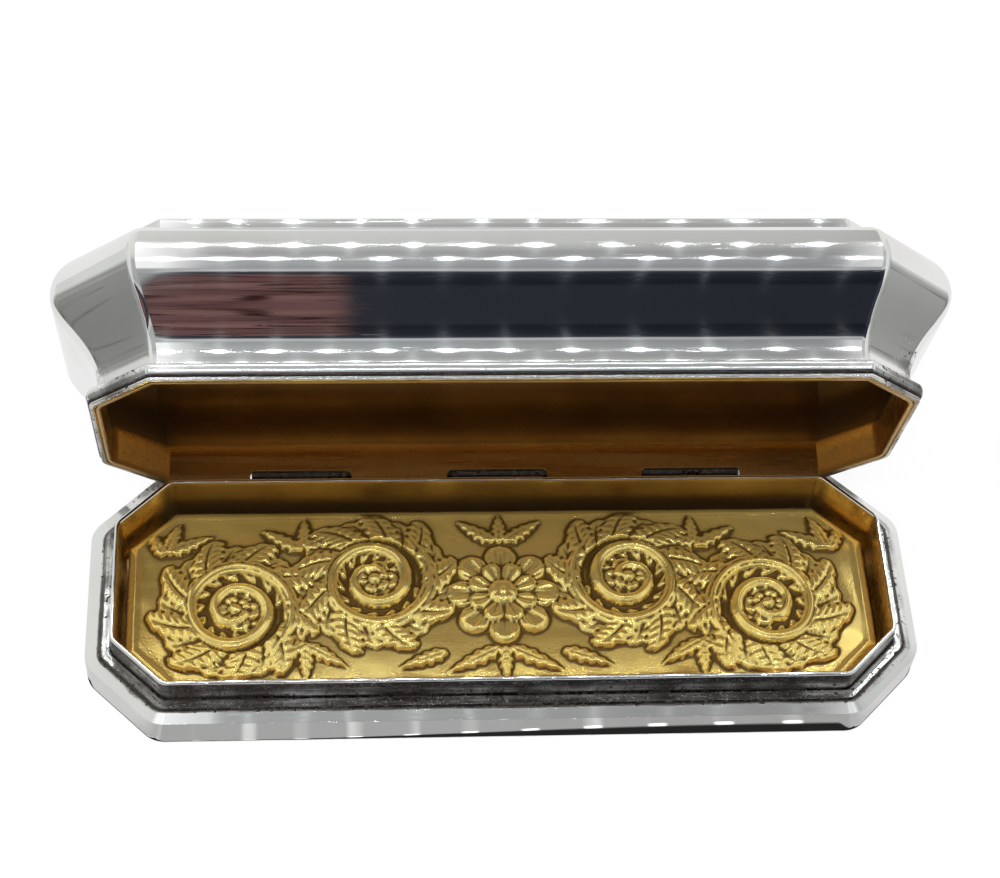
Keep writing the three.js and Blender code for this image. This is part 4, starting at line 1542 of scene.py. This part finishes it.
@dataclass(frozen=True)
class Canopy:
    """Half drum over the box along X: dark room in front, a bright edge, grey ceiling, paler back.

    Each stop is the angle in degrees from the front horizon over the top, and the glow there.
    """

    radius: float = 0.9
    half_length: float = 1.3
    steps: int = 64
    boards_to: float = -0.012
    stops: tuple[tuple[float, Rgb], ...] = (
        (0.0, (0.026, 0.030, 0.039)),
        (33.0, (0.026, 0.030, 0.039)),
        (36.0, (0.013, 0.016, 0.023)),
        (48.0, (0.022, 0.026, 0.036)),
        (52.5, (0.050, 0.055, 0.070)),
        (54.0, (0.560, 0.570, 0.580)),
        (57.0, (0.500, 0.510, 0.520)),
        (60.0, (0.340, 0.360, 0.370)),
        (72.0, (0.400, 0.420, 0.430)),
        (90.0, (0.430, 0.440, 0.440)),
        (104.0, (0.400, 0.410, 0.410)),
        (118.0, (0.560, 0.570, 0.560)),
        (128.0, (0.660, 0.670, 0.655)),
        (145.0, (0.680, 0.690, 0.675)),
        (180.0, (0.720, 0.720, 0.710)),
    )

    def build(self) -> bpy.types.Object:
        """Drum (x, -R cos a, R sin a), its glow led by its angle, with boards at the front's left.

        Returns:
            The stage object.
        """
        a = np.radians(np.linspace(4.0, 176.0, self.steps + 1))
        arc = np.stack([-self.radius * np.cos(a), self.radius * np.sin(a)], -1)
        sides = np.array([-self.half_length, self.half_length])
        points = np.stack(
            [
                np.broadcast_to(sides[:, None], (2, len(a))),
                np.broadcast_to(arc[:, 0], (2, len(a))),
                np.broadcast_to(arc[:, 1], (2, len(a))),
            ],
            -1,
        ).reshape(-1, 3)
        i = np.arange(self.steps)
        n = self.steps + 1
        quads = np.stack([i, i + 1, i + 1 + n, i + n], -1)
        mesh = bpy.data.meshes.new("canopy")
        mesh.from_pydata(points.tolist(), [], quads.tolist())
        s = Sketch("canopy", glows=True)
        split = s.node("ShaderNodeSeparateXYZ", {0: s.place})
        front = s.math("MULTIPLY", split.outputs["Y"], -1.0)
        angle = s.math("DIVIDE", s.math("ARCTAN2", split.outputs["Z"], front), math.pi)
        wide = split.outputs["X"]
        curl = s.band(wide, -0.090, -0.120, 0.38)
        left_end = s.math("MULTIPLY", s.band(wide, -0.074, -0.108), s.band(wide, -0.19, -0.16))
        right_end = s.math("MULTIPLY", s.band(wide, 0.222, 0.250), s.band(wide, 0.33, 0.29))
        ends = s.math("ADD", left_end, right_end)
        pane = s.math("MULTIPLY", s.band(angle, 0.32, 0.345), s.band(angle, 0.735, 0.71))
        pane = s.math("MULTIPLY", pane, ends)
        angle = s.math("ADD", angle, s.math("MULTIPLY", curl, curl))
        ramp = s.node("ShaderNodeValToRGB", {0: angle})
        band = ramp.color_ramp
        for degrees, colour in self.stops[1:-1]:
            band.elements.new(degrees / 180.0).color = (*colour, 1.0)
        band.elements[0].color = (*self.stops[0][1], 1.0)
        band.elements[len(self.stops) - 1].color = (*self.stops[-1][1], 1.0)
        wood = s.noise(140.0, 1.5, (0.8, 1.0, 2.4), (0.0, 0.10, 0.06))
        grain = s.noise(140.0, 4.0, (0.45, 2.0, 6.0), (0.0, 0.10, 0.06))
        boards = s.blend(s.band(grain, 0.34, 0.66), (0.090, 0.044, 0.043), (0.195, 0.106, 0.101))
        turn = s.math("FRACT", s.math("MULTIPLY", wood, 5.0))
        ring = s.math("ABSOLUTE", s.math("SUBTRACT", turn, 0.5))
        boards = s.blend(s.band(ring, 0.14, 0.04), boards, (0.030, 0.012, 0.013))
        left = s.band(wide, self.boards_to + 0.006, self.boards_to - 0.006)
        low = s.band(angle, 49.0 / 180.0, 46.5 / 180.0)
        colour = s.blend(s.math("MULTIPLY", left, low), ramp.outputs[0], boards)
        s.put(s.shader.inputs["Color"], s.blend(pane, colour, (1.05, 1.06, 1.07)))
        fall = {"Value": wide, "From Min": -0.30, "From Max": 0.30, "To Min": 1.16, "To Max": 0.72}
        glow = s.node("ShaderNodeMapRange", fall).outputs["Result"]
        glow = s.math("ADD", glow, s.band(wide, 0.26, 0.38, 0.60))
        s.put(s.shader.inputs["Strength"], glow)
        return reflected(mesh, s.material)


@dataclass(frozen=True)
class Bulbs:
    """Rows of bulbs under the canopy with long faint flares, which curved metal shows as sparkles.

    Each row is its angle from the front horizon over the top, and its shift in steps. A flare is
    longer towards the front than towards the back, in degrees.
    """

    rows: tuple[tuple[float, float], ...] = ((84.0, 0.0), (122.0, 0.45))
    first: float = -0.120
    pitch: float = 0.0223
    spread: float = 0.026
    count: int = 14
    distance: float = 0.88
    half_wide: float = 0.0034
    before: float = 58.0
    behind: float = 18.0
    core: float = 70.0
    flare: float = 0.48
    tint: Rgb = (0.90, 0.95, 1.0)
    steps: int = 36

    def build(self) -> bpy.types.Object:
        """Spindles along the drum's arc, added to what lies behind them.

        At the angle d from the bulb the half width is w (1 - s squared / 2) and the glow is
        core exp(-(d / 3.5) squared) on the middle line, plus flare (1 - |s|) to the power 1.3 that
        fades towards the sides, where s runs from -1 at the front end over 0 at the bulb to 1.

        Returns:
            The stage object.
        """
        s = np.concatenate([np.linspace(-1.0, -0.12, self.steps), np.linspace(-0.1, 1.0, self.steps)])
        away = np.where(s < 0.0, self.before * s, self.behind * s)[None, :, None]
        s = s[None, :, None]
        middle, shift = np.repeat(np.array(self.rows), self.count, axis=0).T[..., None, None]
        number = np.tile(np.arange(self.count), len(self.rows))[:, None, None] + shift
        at = self.first + self.pitch * number * (1.0 + self.spread * number)
        side = np.array([-1.0, -0.35, 0.0, 0.35, 1.0])
        angle = np.radians(middle + away) + 0.0 * side
        x = at + self.half_wide * (1.0 - 0.5 * s * s) * side
        points = np.stack([x, -self.distance * np.cos(angle), self.distance * np.sin(angle)], -1)
        grid = np.arange(x.size).reshape(x.shape)
        quads = np.stack(
            [grid[:, :-1, :-1], grid[:, :-1, 1:], grid[:, 1:, 1:], grid[:, 1:, :-1]], -1
        ).reshape(-1, 4)
        mesh = bpy.data.meshes.new("bulbs")
        mesh.from_pydata(points.reshape(-1, 3).tolist(), [], quads.tolist())
        shine = self.core * bell(away / 3.5) * np.array([0.0, 0.0, 1.0, 0.0, 0.0])
        fading = np.array([0.0, 0.6, 1.0, 0.6, 0.0])
        shine = shine + self.flare * (1.0 - np.abs(s)) ** 1.3 * fading + 0.0 * x
        attribute = mesh.attributes.new("shine", "FLOAT", "POINT")
        attribute.data.foreach_set("value", shine.ravel().astype(np.float32))
        sketch = Sketch("bulbs", glows=True)
        sketch.put(sketch.shader.inputs["Color"], (*self.tint, 1.0))
        sketch.put(sketch.shader.inputs["Strength"], sketch.attribute("shine"))
        clear = sketch.node("ShaderNodeBsdfTransparent", {})
        both = sketch.node("ShaderNodeAddShader", {0: clear.outputs[0], 1: sketch.shader.outputs[0]})
        sketch.put(sketch.tree.nodes["Material Output"].inputs["Surface"], both.outputs[0])
        return reflected(mesh, sketch.material)


@dataclass(frozen=True)
class Table:
    """What the metal sees below it: a dark line round the foot, then grey with streaks, then paler; the
    line and the grey are a painted contact shadow and the streaks painted reflections of the bulbs.
    """

    half: float = 0.7
    level: float = 0.0004
    outline: tuple[float, float, float] = (0.05395, 0.01895, 0.04535)
    dark: float = 0.02
    near: float = 0.40
    pale: float = 0.62
    thin: float = 0.00008
    thick: float = 0.0011
    bulbs: Bulbs = Bulbs()
    eye: float = -0.0231
    nearer: float = 0.257

    def wave(self, s: Sketch, along: bpy.types.NodeSocket) -> bpy.types.NodeSocket:
        """Cosine with a crest below each bulb of the back row, as the eye sees them in a level mirror,
        which places painted reflections of the bulbs.

        The place x of a mirror's point belongs to the bulb's place e + (x - e) / r, and that to the
        number n for which n (1 + spread n) pitch is its distance from the first bulb.

        Args:
            s: Sketch of the material.
            along: Place along X.

        Returns:
            Value from -1 to 1.
        """
        bulbs = self.bulbs
        at = s.math("DIVIDE", s.math("SUBTRACT", along, self.eye), self.nearer)
        at = s.math("ADD", at, self.eye)
        steps = s.math("DIVIDE", s.math("SUBTRACT", at, bulbs.first), bulbs.pitch)
        square = s.math("ADD", s.math("MULTIPLY", steps, 4.0 * bulbs.spread), 1.0)
        root = s.math("SQRT", s.math("MAXIMUM", square, 0.0))
        number = s.math("DIVIDE", s.math("SUBTRACT", root, 1.0), 2.0 * bulbs.spread)
        turn = s.math("MULTIPLY", s.math("SUBTRACT", number, bulbs.rows[-1][1]), 2.0 * math.pi)
        return s.math("COSINE", turn)

    def build(self) -> bpy.types.Object:
        """Level rectangle whose glow follows the distance from the foot's eight-sided outline.

        Returns:
            The stage object.
        """
        h, z = self.half, self.level
        mesh = bpy.data.meshes.new("table")
        mesh.from_pydata([(-h, -h, z), (h, -h, z), (h, h, z), (-h, h, z)], [], [(0, 1, 2, 3)])
        s = Sketch("table", glows=True)
        split = s.node("ShaderNodeSeparateXYZ", {0: s.place})
        along, depth = split.outputs["X"], split.outputs["Y"]
        wide, deep = s.math("ABSOLUTE", along), s.math("ABSOLUTE", depth)
        slant = s.math("MULTIPLY", s.math("ADD", wide, deep), math.sqrt(0.5))
        away = s.math("SUBTRACT", wide, self.outline[0])
        away = s.math("MAXIMUM", away, s.math("SUBTRACT", deep, self.outline[1]))
        away = s.math("MAXIMUM", away, s.math("SUBTRACT", slant, self.outline[2]))
        # The dark line and the grey close round the foot are a painted contact shadow, wider on the
        # right; the streaks and dashes below the bulbs are painted reflections; the paler band beside
        # the ends is painted light.
        thick = s.math("MULTIPLY", s.band(along, -0.035, 0.03), s.band(wide, 0.045, 0.043, self.thick))
        share = s.math("DIVIDE", away, s.math("ADD", thick, self.thin))
        wave = self.wave(s, along)
        pick = s.band(s.noise(9.0, 1.0, (1.0, 0.0, 0.0)), 0.44, 0.60)
        front = s.band(depth, -0.017, -0.0185)
        streak = s.math("MULTIPLY", s.math("MULTIPLY", s.band(wave, 0.35, 1.0, 0.34), pick), front)
        dash = s.math("MULTIPLY", s.band(share, 0.95, 1.10), s.band(share, 1.45, 1.25, 1.6))
        dash = s.math("MULTIPLY", s.math("MULTIPLY", dash, s.band(wave, 0.45, 0.95)), front)
        glow = s.math("ADD", self.near, s.band(away, 0.004, 0.02, self.pale - self.near))
        glow = s.math("ADD", glow, s.band(wide, 0.044, 0.050, 0.25))
        glow = s.math("MULTIPLY", s.math("ADD", glow, streak), s.band(share, 0.85, 1.20))
        glow = s.math("ADD", s.math("ADD", glow, dash), self.dark)
        s.put(s.shader.inputs["Strength"], glow)
        return reflected(mesh, s.material)


@dataclass(frozen=True)
class Studio:
    """Pale floor, white surroundings, soft lamps, and cards for the metal to reflect."""

    floor_half: float = 3.0
    floor_glow: float = 0.84
    fill: float = 0.55

    def build(self) -> None:
        """Makes the surroundings."""
        self.world()
        self.floor()
        Canopy().build()
        Bulbs().build()
        Table().build()
        grey = (0.97, 0.99, 0.97)
        for side in (-1.0, 1.0):
            word = "left" if side < 0.0 else "right"
            near, far = 0.13 * side, 0.8 * side
            lift = 0.36 if side < 0.0 else 0.46
            low = Card(
                name=f"card_{word}_low",
                foot=(near, -0.11, 0.0),
                head=(near, 0.045, 0.075),
                colour=grey,
                dim=0.22,
                bright=lift,
                rim=0.70,
            )
            low.build()
            Card(f"card_{word}_far", (far, -0.9, 0.0), (far, 0.9, 1.1), grey, 0.74, 0.92).build()
        self.lamps()

    @staticmethod
    def seen(tree: bpy.types.NodeTree) -> bpy.types.NodeSocket:
        """1 for camera, glossy and transmission rays, and 0 for the rest.

        Args:
            tree: Node tree to work in.

        Returns:
            The share, 0 or 1.
        """
        path = tree.nodes.new("ShaderNodeLightPath")
        first = tree.nodes.new("ShaderNodeMath")
        second = tree.nodes.new("ShaderNodeMath")
        first.operation = second.operation = "MAXIMUM"
        tree.links.new(path.outputs["Is Camera Ray"], first.inputs[0])
        tree.links.new(path.outputs["Is Glossy Ray"], first.inputs[1])
        tree.links.new(first.outputs[0], second.inputs[0])
        tree.links.new(path.outputs["Is Transmission Ray"], second.inputs[1])
        return second.outputs[0]

    def world(self) -> None:
        """White to the eye and in the metal, with a dimmer even fill for everything else."""
        world = bpy.data.worlds.new("studio")
        bpy.context.scene.world = world
        world.use_nodes = True
        tree = world.node_tree
        tree.nodes.clear()
        fill = tree.nodes.new("ShaderNodeBackground")
        fill.inputs["Color"].default_value = (1.0, 1.0, 1.0, 1.0)
        fill.inputs["Strength"].default_value = self.fill
        white = tree.nodes.new("ShaderNodeBackground")
        white.inputs["Color"].default_value = (1.0, 1.0, 1.0, 1.0)
        white.inputs["Strength"].default_value = 1.0
        mix = tree.nodes.new("ShaderNodeMixShader")
        end = tree.nodes.new("ShaderNodeOutputWorld")
        tree.links.new(self.seen(tree), mix.inputs[0])
        tree.links.new(fill.outputs[0], mix.inputs[1])
        tree.links.new(white.outputs[0], mix.inputs[2])
        tree.links.new(mix.outputs[0], end.inputs["Surface"])

    def floor(self) -> None:
        """Pale floor that keeps the box's shadow, mostly white of its own."""
        h = self.floor_half
        mesh = bpy.data.meshes.new("floor")
        mesh.from_pydata([(-h, -h, 0.0), (h, -h, 0.0), (h, h, 0.0), (-h, h, 0.0)], [], [(0, 1, 2, 3)])
        sketch = Sketch("pale_floor", glows=True)
        tree = sketch.tree
        matt = tree.nodes.new("ShaderNodeBsdfDiffuse")
        matt.inputs["Color"].default_value = (0.9, 0.9, 0.9, 1.0)
        share = tree.nodes.new("ShaderNodeMath")
        share.operation = "MULTIPLY"
        share.inputs[1].default_value = self.floor_glow
        mix = tree.nodes.new("ShaderNodeMixShader")
        tree.links.new(self.seen(tree), share.inputs[0])
        tree.links.new(share.outputs[0], mix.inputs[0])
        tree.links.new(matt.outputs[0], mix.inputs[1])
        tree.links.new(sketch.shader.outputs[0], mix.inputs[2])
        tree.links.new(mix.outputs[0], tree.nodes["Material Output"].inputs["Surface"])
        mesh.materials.append(sketch.material)
        made = bpy.data.objects.new("floor", mesh)
        bpy.context.scene.collection.objects.link(made)

    def lamps(self) -> None:
        """Soft lamps that light the floor: a large one above the front, a smaller one at the left."""
        for name, at, size, watts in (
            ("lamp_front", (0.05, -0.45, 0.75), 0.5, 6.0),
            ("lamp_left", (-0.6, 0.05, 0.6), 0.4, 3.0),
        ):
            data = bpy.data.lights.new(name, "AREA")
            data.energy = watts
            data.size = size
            made = bpy.data.objects.new(name, data)
            made.location = at
            facing = Vector((0.0, 0.0, 0.01)) - Vector(at)
            made.rotation_euler = facing.to_track_quat("-Z", "Y").to_euler()
            made.visible_glossy = False
            bpy.context.scene.collection.objects.link(made)


@dataclass(frozen=True)
class View:
    """Camera fitted to the corners of the bezel and the lid's mouth."""

    lens: float = 85.76
    sensor: float = 36.0
    at: Rgb = (-0.0231455, -0.1656203, 0.2703593)
    turn: float = -0.1254
    tilt: float = 0.6259
    roll: float = 0.0945

    def build(self) -> bpy.types.Object:
        """Makes the camera and sets it as the scene's.

        Returns:
            The camera's object.
        """
        data = bpy.data.cameras.new("camera")
        data.lens = self.lens
        data.sensor_width = self.sensor
        data.sensor_fit = "HORIZONTAL"
        data.clip_start = 0.01
        made = bpy.data.objects.new("camera", data)
        facing = (
            Matrix.Rotation(self.turn, 4, "Z")
            @ Matrix.Rotation(self.tilt, 4, "X")
            @ Matrix.Rotation(self.roll, 4, "Z")
        )
        made.matrix_world = Matrix.Translation(self.at) @ facing
        bpy.context.scene.collection.objects.link(made)
        bpy.context.scene.camera = made
        return made


def main() -> None:
    """Builds the camera, the box and its surroundings."""
    logging.basicConfig(level=logging.INFO, format="%(message)s")
    bpy.context.scene.view_settings.view_transform = "Standard"
    View().build()
    plan = Plan()
    finishes = Finishes.mixed()
    Base(plan, finishes).build()
    ReliefFloor(finishes).build()
    Lid(plan, finishes).build()
    Hinge(finishes).build()
    Studio().build()


if __name__ == "__main__":
    main()
